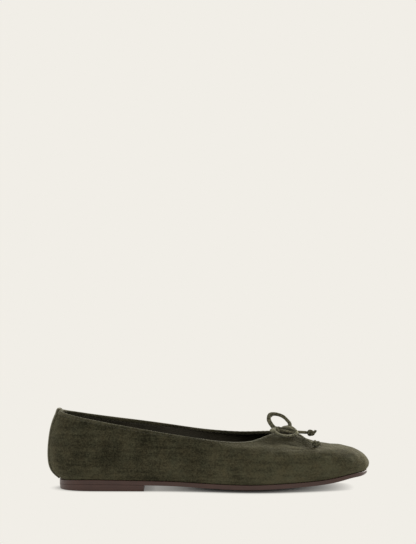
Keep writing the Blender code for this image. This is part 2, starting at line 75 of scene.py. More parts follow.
# Three lines around the shoe, each from heel (turn 0) to toe (turn 1).
# along is a share of SHOE_LENGTH, half of the line's own half width, swing of BALL_WIDTH
# towards the big-toe side.
FEATHER_LINE = (
    # turn  along   half   swing
    (0.00, 0.0422, 0.000, 0.000),
    (0.04, 0.0510, 0.275, 0.000),
    (0.08, 0.0755, 0.485, 0.000),
    (0.12, 0.1110, 0.603, 0.000),
    (0.18, 0.1790, 0.645, 0.000),
    (0.28, 0.2980, 0.640, -0.010),
    (0.38, 0.4050, 0.655, -0.024),
    (0.50, 0.5280, 0.806, -0.030),
    (0.60, 0.6270, 0.962, -0.014),
    (0.68, 0.7063, 1.000, 0.019),
    (0.76, 0.7857, 0.935, 0.050),
    (0.83, 0.8571, 0.805, 0.072),
    (0.89, 0.9167, 0.640, 0.083),
    (0.94, 0.9603, 0.440, 0.088),
    (0.97, 0.9815, 0.256, 0.090),
    (1.00, 0.9905, 0.000, 0.091),
)

# up is a share of BULGE_HEIGHT
WIDEST_LINE = (
    # turn  along   half   swing   up
    (0.00, 0.0044, 0.000, 0.000, 1.00),
    (0.04, 0.0135, 0.265, 0.000, 1.00),
    (0.08, 0.0395, 0.492, 0.000, 1.00),
    (0.12, 0.0820, 0.635, 0.000, 1.00),
    (0.18, 0.1560, 0.708, 0.000, 0.98),
    (0.28, 0.2860, 0.710, -0.007, 0.95),
    (0.38, 0.4010, 0.726, -0.019, 0.91),
    (0.50, 0.5280, 0.843, -0.028, 0.80),
    (0.60, 0.6270, 0.962, -0.014, 0.71),
    (0.68, 0.7083, 1.000, 0.019, 0.67),
    (0.76, 0.7897, 0.933, 0.050, 0.67),
    (0.83, 0.8611, 0.810, 0.072, 0.69),
    (0.89, 0.9210, 0.648, 0.083, 0.71),
    (0.94, 0.9660, 0.448, 0.088, 0.73),
    (0.97, 0.9890, 0.258, 0.090, 0.735),
    (1.00, 1.0000, 0.000, 0.091, 0.74),
)

# back and throat are shares of BACK_HEIGHT and THROAT_HEIGHT, added together;
# rise is a share of THROAT_HEIGHT by which the big-toe side stands above the mean.
TOP_LINE = (
    # turn  along   half   swing   back   throat  rise
    (0.00, 0.0355, 0.000, 0.000, 1.000, 0.000, 0.000),
    (0.04, 0.0410, 0.271, 0.000, 0.988, 0.000, 0.000),
    (0.08, 0.0575, 0.493, 0.000, 0.966, 0.000, 0.000),
    (0.12, 0.0853, 0.653, 0.000, 0.938, 0.004, 0.002),
    (0.18, 0.1468, 0.799, 0.000, 0.850, 0.064, 0.007),
    (0.28, 0.2698, 0.924, -0.003, 0.620, 0.278, 0.022),
    (0.38, 0.3690, 0.979, -0.007, 0.380, 0.533, 0.029),
    (0.50, 0.4762, 1.000, -0.005, 0.160, 0.755, 0.033),
    (0.60, 0.5476, 0.951, 0.002, 0.060, 0.849, 0.041),
    (0.68, 0.5972, 0.861, 0.012, 0.020, 0.891, 0.043),
    (0.76, 0.6389, 0.708, 0.024, 0.000, 0.934, 0.037),
    (0.83, 0.6687, 0.535, 0.033, 0.000, 0.966, 0.018),
    (0.89, 0.6897, 0.368, 0.038, 0.000, 0.988, 0.006),
    (0.94, 0.7032, 0.208, 0.041, 0.000, 0.998, 0.000),
    (0.97, 0.7083, 0.104, 0.042, 0.000, 1.000, 0.000),
    (1.00, 0.7103, 0.000, 0.042, 0.000, 1.000, 0.000),
)

# Shape of the wall between those lines. The low point is given by shares of the way
# from feather line to widest line, the knee, mid and high points from widest line to top line.
WALL_SHAPE = (
    # turn low_out low_up knee_in knee_up mid_in mid_up high_in high_up
    (0.00, 0.72, 0.36, 0.07, 0.33, 0.36, 0.67, 0.67, 0.85),
    (0.18, 0.68, 0.36, 0.08, 0.34, 0.38, 0.69, 0.69, 0.86),
    (0.38, 0.66, 0.36, 0.10, 0.36, 0.42, 0.71, 0.73, 0.88),
    (0.60, 0.64, 0.37, 0.13, 0.43, 0.49, 0.78, 0.76, 0.91),
    (0.76, 0.64, 0.37, 0.14, 0.465, 0.52, 0.786, 0.78, 0.91),
    (0.89, 0.64, 0.37, 0.14, 0.447, 0.546, 0.636, 0.79, 0.883),
    (1.00, 0.64, 0.37, 0.136, 0.438, 0.524, 0.657, 0.79, 0.897),
)

# Height of the sole's top edge as shares of SEAT_HEIGHT and TOE_SPRING, added together,
# how far the middle of the sole hangs below its edge, as a share of the edge's height,
# and its thickness as a share of SOLE_THICKNESS.
SOLE_SIDE = (
    # along  seat   spring crown  thick
    (0.0385, 0.86, 0.000, 0.00, 1.00),
    (0.0900, 0.96, 0.000, 0.00, 1.00),
    (0.1800, 1.00, 0.000, 0.00, 1.00),
    (0.2980, 0.94, 0.000, 0.00, 1.00),
    (0.4050, 0.87, 0.000, 0.20, 1.00),
    (0.4920, 0.77, 0.000, 0.80, 1.03),
    (0.5800, 0.70, 0.005, 1.25, 1.06),
    (0.6670, 0.68, 0.030, 1.25, 1.06),
    (0.7540, 0.55, 0.170, 0.80, 1.03),
    (0.8500, 0.37, 0.380, 0.30, 1.00),
    (0.9090, 0.22, 0.625, 0.12, 0.97),
    (0.9480, 0.12, 0.815, 0.04, 0.90),
    (0.9850, 0.03, 0.950, 0.00, 0.76),
    (0.9980, 0.00, 1.000, 0.00, 0.62),
)

KNOT_AXIS = (1.0, 0.10, -0.20)      # direction that the bow's knot points in

# Routes of the bow's cord, in millimetres from the middle of its knot
HIGH_LOOP_ROUTE = (
    (3.8, 2.6, 0.9), (5.5, 3.6, 0.8), (7.0, 4.7, 1.4), (7.6, 5.8, 3.1), (5.9, 7.1, 5.8),
    (3.3, 7.7, 8.4), (-0.3, 7.8, 10.3), (-3.8, 7.7, 11.1), (-6.8, 7.2, 10.9), (-8.6, 6.5, 9.4),
    (-8.9, 5.2, 6.8), (-7.5, 3.9, 3.9), (-5.8, 2.6, 1.7), (-3.8, 1.5, 0.5),
)
LOW_LOOP_ROUTE = (
    (3.7, -1.0, 1.3), (5.8, -0.8, 1.2), (8.6, -1.2, 0.8), (11.2, -2.9, -0.3), (12.8, -5.1, -1.7),
    (12.6, -7.3, -2.8), (10.6, -9.4, -3.7), (7.7, -11.3, -4.2), (4.5, -13.2, -4.2),
    (1.4, -14.2, -3.9), (-1.8, -13.7, -2.8), (-4.2, -12.0, -1.4), (-6.2, -9.8, -0.4),
    (-6.9, -6.8, 0.0), (-5.6, -4.2, 0.2), (-3.7, -2.2, 0.3),
)
FREE_END_ROUTE = (
    (4.2, 1.0, -1.4), (6.2, 0.9, -1.7), (8.8, 0.4, -2.1), (11.6, 0.1, -2.2), (14.6, -0.1, -2.4),
    (17.6, -0.5, -2.5), (20.3, -0.6, -2.7),
)
RESTING_END_ROUTE = (
    (4.1, -2.1, -1.5), (6.6, -2.6, -2.0), (9.6, -2.8, -2.7), (12.6, -3.0, -3.6),
    (14.7, -4.0, -4.3), (17.1, -6.3, -5.6), (19.5, -8.3, -7.1), (21.8, -9.9, -8.4),
    (23.9, -11.7, -9.2), (24.9, -12.8, -9.4),
)

# Where the flat side of each cord looks and how wide it lies, by share of the way from the
# start of its loop to its end
HIGH_CORD_FACING = (
    # share, direction, width
    (0.00, (0.0, -0.5, 0.85), 0.95), (0.075, (0.1, -0.9, 0.3), 1.35),
    (0.12, (0.4, -0.9, 0.2), 1.20), (0.18, (0.1, -1.0, 0.2), 0.95),
    (0.34, (0.0, -0.9, 0.5), 1.00), (0.39, (-0.1, -0.9, 0.4), 1.15),
    (0.425, (-0.2, -0.9, 0.3), 1.45), (0.46, (-0.2, -0.9, 0.3), 1.25),
    (0.52, (-0.3, -0.9, 0.2), 1.32), (0.60, (0.0, -1.0, 0.0), 1.25),
    (0.68, (0.0, -1.0, 0.2), 1.05), (0.75, (0.0, -0.95, 0.3), 1.50),
    (0.82, (0.0, -0.9, 0.4), 1.50), (0.86, (0.0, -0.8, 0.6), 1.05),
    (0.93, (0.0, -0.8, 0.6), 0.88), (1.00, (0.0, -0.8, 0.6), 0.95),
)
LOW_CORD_FACING = (
    (0.00, (0.0, 0.0, 1.0), 0.90), (0.06, (0.0, -0.4, 0.95), 1.00),
    (0.095, (0.0, -0.75, 0.65), 1.35), (0.125, (0.3, -0.5, 0.8), 1.15),
    (0.17, (0.7, 0.1, 0.7), 0.95), (0.23, (0.4, -0.3, 0.85), 0.92),
    (0.33, (0.0, -0.4, 0.92), 1.00), (0.42, (-0.1, -0.45, 0.9), 1.05),
    (0.47, (-0.4, -0.2, 0.9), 1.35), (0.52, (-0.5, -0.1, 0.85), 1.45),
    (0.56, (-0.1, -0.6, 0.8), 1.40), (0.60, (0.0, -0.8, 0.6), 1.30),
    (0.66, (0.0, -0.7, 0.7), 1.10), (0.72, (0.0, -0.7, 0.7), 0.75),
    (0.78, (0.1, -0.7, 0.7), 0.58), (0.95, (0.3, -0.6, 0.75), 0.58),
    (1.00, (0.3, -0.5, 0.8), 0.70),
)

# Each cord: its name, its route from the knot round its loop, through the knot and out to its
# end, its facing, the word for its end, where its cut end points, and the nodes it stands for
BOW_CORDS = (
    ("cord_high_loop",
     ((1.2, 1.2, 0.4),) + HIGH_LOOP_ROUTE + ((-0.6, 1.1, 0.2), (1.0, 1.3, -0.4))
     + FREE_END_ROUTE,
     HIGH_CORD_FACING, "free", (1.2, 0.0, 2.4), ("bow_loop_high", "bow_end_free")),
    ("cord_low_loop",
     ((1.0, -0.2, 0.6),) + LOW_LOOP_ROUTE + ((-1.2, -2.8, -0.6), (1.4, -2.9, -1.0))
     + RESTING_END_ROUTE,
     LOW_CORD_FACING, "resting", (1.7, -0.2, -0.1), ("bow_loop_low", "bow_end_resting")),
)

# Turns of the bow's knot: place along it in metres, lean, size as a share of the whole
KNOT_TURNS = ((-0.0014, 0.16, 0.98), (0.0012, -0.12, 1.0), (-0.0002, 0.80, 0.92),
              (-0.0030, -0.30, 0.80))
KNOT_STRAND = 0.35          # half a turn's thickness, as a share of the knot's half size
NUB_RADIUS = 0.0010
END_KNOT_FULL = (1.03, 1.22, 1.22)  # tied turns' reach, as shares of the plain knot's sizes
END_KNOT_STRAND = 0.46      # thickness of its cord, as a share of the knot's


# Where the photograph was taken from, and what its frame holds
PHOTO_WIDTH, PHOTO_HEIGHT = 416, 544
SENSOR_WIDTH = 36.0         # millimetres, as the lens is
CAMERA_DISTANCE = 2.0
CAMERA_ELEVATION = math.radians(6.5)
PIXEL = 0.000785            # metres to a pixel at the shoe
FOOT_ROW = 487.6            # row of the photograph where the shoe's middle meets the floor
FOOT_COLUMN = 208.4

# The suede's own layers and the finer sizes of the trim
SUEDE_THICKNESS = 0.0011
LINING_THICKNESS = 0.0005
LINING_STOP = 0.002         # lining's foot above the wall's
CASING_TUCK = 0.0005        # skin and lining reach up inside the folded edge
CASING_SHOWN = 0.0003       # folded edge's real step past the wall, each side
STITCH_LENGTH = 0.0021
STITCH_SPACING = 0.0029
THREAD = 0.00042
STITCH_DIP = 1.26           # how far its ends dip, as shares of the thread's thickness
STITCH_LINE = 0.86, 0.88    # the stitches' place down the folded edge, and out from its middle
STRIP_ROUNDING = 0.24       # share of the back strip's half width that its soft edge takes
STRIP_EDGE_POWER = 2.2      # how fully that edge is rounded
STRIP_TURN = 0.03           # turn at which the strip's width is measured
TAB_OUTSIDE = ((0.0034, 0.4), (0.0028, 0.8), (0.0020, 1.0))     # down, share of the step climbed
TAB_INSIDE = (0.0022, 0.0034, 0.0044)   # down from the top line
TAB_STEPS = 10              # round the folded edge's top
PUCKER_SPACING = 0.0046     # from one gather of the folded edge to the next
PUCKER_DRIFT = 1.7, 0.017   # how far their spacing wanders, and over what distance
PUCKER_START = 0.45         # turn from which they grow towards the throat
PUCKER_RISE = 0.03, 0.10    # their rise at the back, and what the throat adds to it
CORD_WIDTH = 0.0027         # the cord is a folded strip, wider than it is thick
CORD_DEPTH = 0.0017
CORD_WAVER = 0.07           # how unevenly its width runs
CORD_LUMPS = 420.0, 300.0   # to a metre, in its width and in its thickness
CORD_SQUARENESS = 0.75      # 1 would be an ellipse
CORD_SEAM = (1.45 * math.pi, 0.22, 0.22)    # angle round the section, width, depth
CORD_THINNING = 0.6         # how far the thickness follows where the strip narrows

BOUNCE_LIGHT_HEIGHT = 0.030         # below this the nap is painted paler towards the sole: painted light of the floor's bounce
PAINTED_LIGHT_PLACES = (           # where shade and light are painted into the nap: darker by the throat and under the bow, paler on the toe and low on the near side; middle, reach, and how much paler (or darker) the nap is there
    ((0.052, -0.017, 0.041), 0.027, -0.45), ((0.077, -0.019, 0.036), 0.019, -0.45),
    ((0.108, 0.004, 0.026), 0.036, 0.36), ((0.070, -0.042, 0.014), 0.050, 0.42),
    ((0.000, -0.036, 0.026), 0.045, 0.16),
)

# Lumps of the suede: how many to a metre, their place, their rise, and what the vamp adds to it
LUMPS = (
    (62.0, (0.0, 0.0, 0.0), 0.00028, 0.0),
    (150.0, (7.0, 3.0, 1.0), 0.00018, 0.000162),
    (330.0, (0.0, 0.0, 0.0), 0.0, 0.00011),
)
VAMP_START, VAMP_REACH = 0.035, 0.030
RELIEF_FADE = 0.06, 0.05    # shares of the wall over which they fade, at its top and its foot
RELIEF_AT_TOP = 0.25        # what is left of them inside the folded edge
TURNED_FOLD = 0.0012, 0.0004    # insets of the last rows before the wall turns up

# Creases: start and end in millimetres, half width, rise (minus is a trough)
CREASES = (
    ((58.6, -15.7, 37.9), (67.3, -10.7, 37.7), 1.6, -0.38),
    ((71.2, -5.7, 38.6), (76.8, -15.4, 32.9), 2.2, -0.16),
    ((80.4, -11.7, 33.4), (78.1, -28.8, 28.7), 1.7, -0.40),
    ((82.6, -11.9, 33.2), (83.4, -26.9, 28.7), 1.8, 0.25),
    ((85.5, -26.6, 28.1), (93.8, -23.4, 27.5), 1.5, -0.55),
    ((93.7, -25.7, 24.8), (101.3, -23.3, 22.1), 1.6, -0.50),
    ((83.8, -31.0, 22.7), (91.9, -28.1, 21.4), 1.6, -0.45),
    ((48.4, -11.9, 41.5), (42.1, -28.9, 35.3), 2.8, -0.12),
    ((53.2, -15.8, 39.2), (48.9, -34.4, 31.7), 3.0, -0.20),
    ((56.0, -20.0, 37.1), (68.0, -19.0, 35.2), 1.7, -0.50),
    ((60.0, -27.0, 33.8), (72.0, -25.0, 31.3), 1.8, -0.45),
    ((64.0, -17.0, 36.6), (73.0, -13.5, 35.6), 1.5, 0.35),
    ((88.0, -12.0, 31.5), (97.0, -14.0, 28.3), 1.6, -0.40),
)

# Section of the folded edge: share of its height down, share of its half thickness outwards
CASING_SECTION = (
    (1.00, 0.60), (0.88, 0.80), (0.68, 0.98), (0.42, 1.00), (0.20, 0.90), (0.06, 0.62),
    (0.00, 0.32), (-0.015, 0.0),
    (0.00, -0.32), (0.06, -0.62), (0.20, -0.90), (0.42, -1.00), (0.68, -0.98), (0.88, -0.80),
    (1.00, -0.60), (1.02, 0.0),
)

# Layers of noise: how fine, on all axes or on each, detail, roughness and strength
NAP_WIDE = (
    (70.0, 3.0, 0.55, 1.0),                         # patches
    (26.0, 2.0, 0.5, 1.25),                         # clouds
    ((30.0, 60.0, 420.0), 3.0, 0.6, 1.3),           # streaks along the shoe
    ((120.0, 120.0, 330.0), 3.0, 0.6, 0.9),         # brush marks
)
NAP_FINE = (
    (700.0, 3.0, 0.62, 1.5),                        # flecks
    ((1500.0, 1500.0, 2600.0), 2.0, 0.6, 1.3),      # fibre
)
NAP_WARMTH = ((130.0, 3.0, 0.6, 3.0),)
COOL_TINT, WARM_TINT = (0.965, 1.006, 1.02, 1.0), (1.045, 0.99, 0.95, 1.0)
LEATHER_CLOUDS = ((95.0, 3.0, 0.6, 1.2),)
LEATHER_STREAKS = ((55.0, 90.0, 1300.0), 3.0, 0.55)
PORES = 900.0               # to a metre

# Fineness of the surfaces
STATIONS = 200
ROUND_END = 0.35            # how much closer the stations stand at heel and toe
SKIN_SAMPLES = 160
NORMAL_REACH = 0.0006       # distance over which a surface's normal is taken
TOP_REACH = 0.001           # and the wall's direction at its top
WALL_ROWS = 80
LINING_ROWS = 34
SOLE_STEPS = 24
HEEL_STEPS = 10
HEEL_MARGIN = 0.002         # turn left free of stations just behind the breast
STRIP_COLUMNS, STRIP_ROWS = 28, 60
CORD_STEPS = 190
CORD_SIDES = 24
TREFOIL_STEPS = 72
SHAFT_STEPS = 14
TUBE_ROUNDING = 3

# The studio: a pale room, a floor of the same light, and lamps given by name, place, size,
# watts and what they look at
FLOOR_RADIUS = 14.0
ROOM = (0.880, 0.855, 0.799)
SHADOW_REACH = 0.009        # painted shadow: the floor's glow is dimmed where something is this close to it
SHADOW_SOFTNESS = 0.75      # below 1 the painted shadow is paler
LAMP = (1.0, 0.98, 0.94)
SOFT_BOXES = (
    ("soft_box_behind_toe", (0.95, 1.15, 0.66), (0.9, 0.7), 43.0, (0.05, 0.0, 0.02)),
    ("soft_box_behind_heel", (-1.05, 0.10, 0.55), (0.5, 0.5), 2.0, (-0.05, 0.0, 0.03)),
)


def cubic(knots, values, at, flat_ends=False):
    """A smooth curve through the values; its ends are level, or else run straight on."""
    knots = np.asarray(knots, dtype=float)
    values = np.asarray(values, dtype=float).reshape(len(knots), -1)
    count = len(knots)
    step = np.diff(knots)
    rise = np.diff(values, axis=0) / step[:, None]
    matrix = np.zeros((count, count))
    right = np.zeros_like(values)
    for i in range(1, count - 1):
        matrix[i, i - 1] = 1.0 / step[i - 1]
        matrix[i, i] = 2.0 / step[i - 1] + 2.0 / step[i]
        matrix[i, i + 1] = 1.0 / step[i]
        right[i] = 3.0 * (rise[i - 1] / step[i - 1] + rise[i] / step[i])
    matrix[0, 0] = 1.0
    matrix[-1, -1] = 1.0
    if not flat_ends:
        matrix[0, 1] = 0.5
        matrix[-1, -2] = 0.5
        right[0] = 1.5 * rise[0]
        right[-1] = 1.5 * rise[-1]
    slopes = np.linalg.solve(matrix, right)
    at = np.clip(np.asarray(at, dtype=float), knots[0], knots[-1])
    span = np.clip(np.searchsorted(knots, at, side="right") - 1, 0, count - 2)
    width = step[span][:, None]
    share = (at - knots[span])[:, None] / width
    back = 1.0 - share
    return (values[span] * back ** 2 * (1.0 + 2.0 * share)
            + values[span + 1] * share ** 2 * (1.0 + 2.0 * back)
            + slopes[span] * width * share * back ** 2
            - slopes[span + 1] * width * share ** 2 * back)


def column(table, index, turns, flat=True):
    """One named column of a table, read at the given turns."""
    knots = [row[0] for row in table]
    values = [row[index] for row in table]
    return cubic(knots, values, turns, flat_ends=flat)[:, 0]


def run_along(points):
    """Distance of each point along a line of points."""
    steps = np.linalg.norm(np.diff(points, axis=0), axis=1)
    return np.concatenate(([0.0], np.cumsum(steps)))


def point_at(wanted, run, line):
    """A line's point, or points, at the wanted distance along it."""
    return np.array([np.interp(wanted, run, line[:, k]) for k in range(3)]).T


def middle_swing():
    """How far the middle of the upper's own width lies from the heel's middle line."""
    turns = np.linspace(0.0, 1.0, 400)
    half = column(WIDEST_LINE, 2, turns, flat=False) / 2
    swing = column(WIDEST_LINE, 3, turns)
    return (np.max(swing + half) + np.min(swing - half)) / 2 * BALL_WIDTH


MIDDLE_SWING = middle_swing()


def line_in_plan(table, width, turns, side):
    """X and Y of one of the lines around the shoe; side is -1 outside, +1 inside."""
    x = column(table, 1, turns) * SHOE_LENGTH - SHOE_LENGTH / 2
    half = column(table, 2, turns, flat=False) * width / 2
    swing = column(table, 3, turns) * BALL_WIDTH
    return x, side * half + swing - MIDDLE_SWING


def sole_plan():
    """The feather line in plan: X, and Y on the outer and the inner side."""
    turns = np.linspace(0.0, 1.0, 400)
    x, outer = line_in_plan(FEATHER_LINE, SOLE_WIDTH, turns, -1.0)
    return x, outer, line_in_plan(FEATHER_LINE, SOLE_WIDTH, turns, 1.0)[1]


SOLE_PLAN = sole_plan()


def sole_edge(x):
    """Height of the sole's top edge, share of its crown, and thickness at each x."""
    along = np.asarray(x) / SHOE_LENGTH + 0.5
    up = column(SOLE_SIDE, 1, along) * SEAT_HEIGHT + column(SOLE_SIDE, 2, along) * TOE_SPRING
    return up, column(SOLE_SIDE, 3, along), column(SOLE_SIDE, 4, along) * SOLE_THICKNESS


def sole_top(x, across):
    """Height of the sole's top; across runs from -1 at one edge to 1 at the other."""
    up, crown, thickness = sole_edge(x)
    return up - crown * (up - thickness) * (1.0 - across ** 2)


def sole_bottom(x, across):
    """Underside of the sole, flat on the floor in the middle of the tread."""
    return np.maximum(sole_top(x, across) - sole_edge(x)[2], 0.0)


def station_turns():
    """Turns of the stations along the shoe, closer together at heel and toe."""
    even = np.linspace(0.0, 1.0, STATIONS + 1)
    return even - ROUND_END * np.sin(2 * math.pi * even) / (2 * math.pi)


def around(turns):
    """Turns and sides all around the shoe: heel, outer side, toe, inner side."""
    turns = np.concatenate((turns, turns[-2:0:-1]))
    half = len(turns) // 2
    side = np.concatenate((-np.ones(half + 1), np.ones(len(turns) - half - 1)))
    return turns, side


def wall_profiles(turns, side):
    """Fine profiles of the upper's outside, from feather line to top line."""
    feather_x, feather_y = line_in_plan(FEATHER_LINE, SOLE_WIDTH, turns, side)
    feather_z = sole_edge(feather_x)[0] + FIT_GAP
    widest_x, widest_y = line_in_plan(WIDEST_LINE, BALL_WIDTH, turns, side)
    widest_z = column(WIDEST_LINE, 4, turns) * BULGE_HEIGHT
    top_x, top_y = line_in_plan(TOP_LINE, OPENING_WIDTH, turns, side)
    top_z = (column(TOP_LINE, 4, turns) * BACK_HEIGHT + column(TOP_LINE, 5, turns) * THROAT_HEIGHT
             + side * column(TOP_LINE, 6, turns) * THROAT_HEIGHT)
    feather = np.stack((feather_x, feather_y, feather_z), axis=1)
    widest = np.stack((widest_x, widest_y, widest_z), axis=1)
    top = np.stack((top_x, top_y, top_z), axis=1)
    low_out, low_up, knee_in, knee_up, mid_in, mid_up, high_in, high_up = (
        column(WALL_SHAPE, index, turns)[:, None] for index in range(1, 9))

    def between(start, end, level, lift):
        point = start + (end - start) * level
        point[:, 2:] = start[:, 2:] + (end - start)[:, 2:] * lift
        return point

    low = between(feather, widest, low_out, low_up)
    knee = between(widest, top, knee_in, knee_up)
    mid = between(widest, top, mid_in, mid_up)
    high = between(widest, top, high_in, high_up)
    profiles = []
    for points in zip(feather, low, widest, knee, mid, high, top):
        points = np.array(points)
        knots = run_along(points)
        profiles.append(cubic(knots, points, np.linspace(0.0, knots[-1], SKIN_SAMPLES)))
    return np.array(profiles)


def walk(profiles, distances):
    """Points at given distances along each profile, measured from its top."""
    result = []
    for profile, wanted in zip(profiles, distances):
        down = profile[::-1]
        result.append(point_at(wanted, run_along(down), down))
    return np.array(result)


def profile_lengths(profiles):
    """Length of each profile, from feather line to top line."""
    return np.linalg.norm(np.diff(profiles, axis=1), axis=2).sum(axis=1)


def inset_outline(turns, side, inset):
    """The feather line moved inwards in plan by a named distance."""
    x, y = line_in_plan(FEATHER_LINE, SOLE_WIDTH, turns, side)
    step = 1e-3
    x_next, y_next = line_in_plan(FEATHER_LINE, SOLE_WIDTH, np.minimum(turns + step, 1.0), side)
    x_back, y_back = line_in_plan(FEATHER_LINE, SOLE_WIDTH, np.maximum(turns - step, 0.0), side)
    run_x = x_next - x_back
    run_y = y_next - y_back
    run_x[(turns < step) | (turns > 1.0 - step)] = 0.0
    length = np.hypot(run_x, run_y)
    return x - inset * side * -run_y / length, y - inset * side * run_x / length


def across_sole(x, y):
    """Where a point lies across the sole, from -1 to 1."""
    outer = np.interp(x, SOLE_PLAN[0], SOLE_PLAN[1])
    inner = np.interp(x, SOLE_PLAN[0], SOLE_PLAN[2])
    half = np.maximum((inner - outer) / 2, 1e-4)
    return np.clip((y - (inner + outer) / 2) / half, -1.0, 1.0)


def rest_on_sole(x, y):
    """Points at the given places, just clear of the sole's top."""
    return np.stack((x, y, sole_top(x, across_sole(x, y)) + FIT_GAP), axis=1)


def skin(profiles, distances, closed=True):
    """Points and outward normals at given distances from the top of each profile."""
    distances = np.array(distances)
    face = walk(profiles, distances)
    down = walk(profiles, distances + NORMAL_REACH) - walk(profiles, distances - NORMAL_REACH)
    if closed:
        along = np.roll(face, -1, axis=0) - np.roll(face, 1, axis=0)
    else:
        along = np.gradient(face, axis=0)
    normal = np.cross(down, along)
    return face, normal / np.linalg.norm(normal, axis=2)[:, :, None]


def photo_camera():
    """Camera at the photograph's angle, tipped up so that the shoe lies low in the frame."""
    data = bpy.data.cameras.new("photo_camera")
    data.sensor_fit = "AUTO"
    data.sensor_width = SENSOR_WIDTH
    focal_pixels = CAMERA_DISTANCE / PIXEL
    data.lens = focal_pixels * SENSOR_WIDTH / PHOTO_HEIGHT
    camera = bpy.data.objects.new("photo_camera", data)
    bpy.context.scene.collection.objects.link(camera)
    drop = math.atan((FOOT_ROW - PHOTO_HEIGHT / 2) / focal_pixels)
    aside = (FOOT_COLUMN - PHOTO_WIDTH / 2) * PIXEL
    camera.location = (-aside, -MIDDLE_SWING - CAMERA_DISTANCE * math.cos(CAMERA_ELEVATION),
                       CAMERA_DISTANCE * math.sin(CAMERA_ELEVATION))
    camera.rotation_euler = (math.pi / 2 - CAMERA_ELEVATION + drop, 0.0, 0.0)
    bpy.context.scene.camera = camera


def deselect():
    """Leave nothing selected, because an operator acts on all that is."""
    bpy.ops.object.select_all(action="DESELECT")


def only(piece):
    """Make one piece the selected and active one."""
    deselect()
    piece.select_set(True)
    bpy.context.view_layer.objects.active = piece


def finish_mesh(piece, merge=0.0, outward=False):
    """Merge doubles, turn the faces outwards unless they are, and shade smooth."""
    only(piece)
    bpy.ops.object.mode_set(mode="EDIT")
    bpy.ops.mesh.select_all(action="SELECT")
    if merge:
        bpy.ops.mesh.remove_doubles(threshold=merge)
    if not outward:
        bpy.ops.mesh.normals_make_consistent(inside=False)
    bpy.ops.object.mode_set(mode="OBJECT")
    bpy.ops.object.shade_smooth()
    return piece


def curve_mesh(name, points, radius, closed=False):
    """A smooth tube along points, turned into a mesh."""
    data = bpy.data.curves.new(name, "CURVE")
    data.dimensions = "3D"
    data.use_fill_caps = not closed
    data.bevel_depth = radius
    data.bevel_resolution = TUBE_ROUNDING
    spline = data.splines.new("POLY")
    spline.points.add(len(points) - 1)
    for place, point in zip(spline.points, points):
        place.co = (*point, 1.0)
    spline.use_cyclic_u = closed
    piece = bpy.data.objects.new(name, data)
    bpy.context.scene.collection.objects.link(piece)
    only(piece)
    bpy.ops.object.convert(target="MESH")
    piece = bpy.context.object
    piece.name = name
    return finish_mesh(piece, merge=1e-6)


def lace(name, points, facing):
    """A folded strip swept along points, its flat turned and its width changed as facing says."""
    shares = np.linspace(0.0, 1.0, len(points))
    knots, directions, widths = (np.array(part) for part in zip(*facing))
    spread = np.interp(shares, knots, widths)
    flat = point_at(shares, knots, directions)
    run = np.gradient(points, axis=0)
    run /= np.linalg.norm(run, axis=1)[:, None]
    flat -= (flat * run).sum(axis=1)[:, None] * run
    flat /= np.linalg.norm(flat, axis=1)[:, None]
    wide = np.cross(run, flat)
    angles = np.linspace(0.0, 2 * math.pi, CORD_SIDES + 1)
    circle = np.stack((np.cos(angles), np.sin(angles)))
    square = np.abs(circle) ** CORD_SQUARENESS * np.sign(circle)
    seam_angle, seam_width, seam_depth = CORD_SEAM
    seam = seam_depth * np.exp(-((angles - seam_angle) / seam_width) ** 2)
    rings = []
    for place, w, f, full in zip(points, wide, flat, spread):
        waver = full * (1.0 + CORD_WAVER * noise.noise(Vector(place) * CORD_LUMPS[0]))
        thin = 1.0 + CORD_WAVER * noise.noise(Vector(place) * CORD_LUMPS[1]
                                              + Vector((3.0, 5.0, 9.0)))
        thin *= min(1.0, full) ** CORD_THINNING
        rings.append(place + np.outer(square[0] * waver * CORD_WIDTH / 2, w)
                     + np.outer((square[1] * (1.0 - seam)) * thin * CORD_DEPTH / 2, f))
    ends = [np.repeat(points[i:i + 1], len(angles), axis=0) for i in (0, len(points) - 1)]
    return shaped_grid(name, np.stack([ends[0]] + rings + [ends[1]]))


def knot_middle():
    """Middle of the bow's knot, seated on the front of the folded edge."""
    rim = wall_profiles(np.ones(1), np.ones(1))[0, -1]
    return Vector((rim[0] + KNOT_LENGTH * KNOT_AHEAD, rim[1],
                   rim[2] + KNOT_THICKNESS / 2 + FIT_GAP))


def smooth_route(middle, route, count):
    """A smooth curve through a route given in millimetres from middle."""
    points = np.array(route) / 1000.0
    knots = run_along(points)
    return cubic(knots, points, np.linspace(0.0, knots[-1], count)) + np.array(middle)


def trefoil(middle, run, size, strand, name):
    """A tight overhand knot; size is its reach along the cord, across it and in depth."""
    turn = np.array(run.to_track_quat("X", "Z").to_matrix())
    angles = np.linspace(0.0, 2 * math.pi, TREFOIL_STEPS, endpoint=False)
    out = 2 + np.cos(3 * angles)
    line = np.stack((out * np.cos(2 * angles), out * np.sin(2 * angles), np.sin(3 * angles)),
                    axis=1)
    reach = np.array(size) / 2 - strand / 2
    line = line * (reach / np.array((3.0, 3.0, 1.0)))
    points = line[:, (0, 2, 1)] @ turn.T + np.array(middle)
    return curve_mesh(name, points, strand / 2, closed=True)


def join(name, pieces):
    """Several meshes made one piece."""
    deselect()
    for piece in pieces:
        piece.select_set(True)
    bpy.context.view_layer.objects.active = pieces[0]
    bpy.ops.object.join()
    pieces[0].name = name
    pieces[0].data.name = name
    return pieces[0]


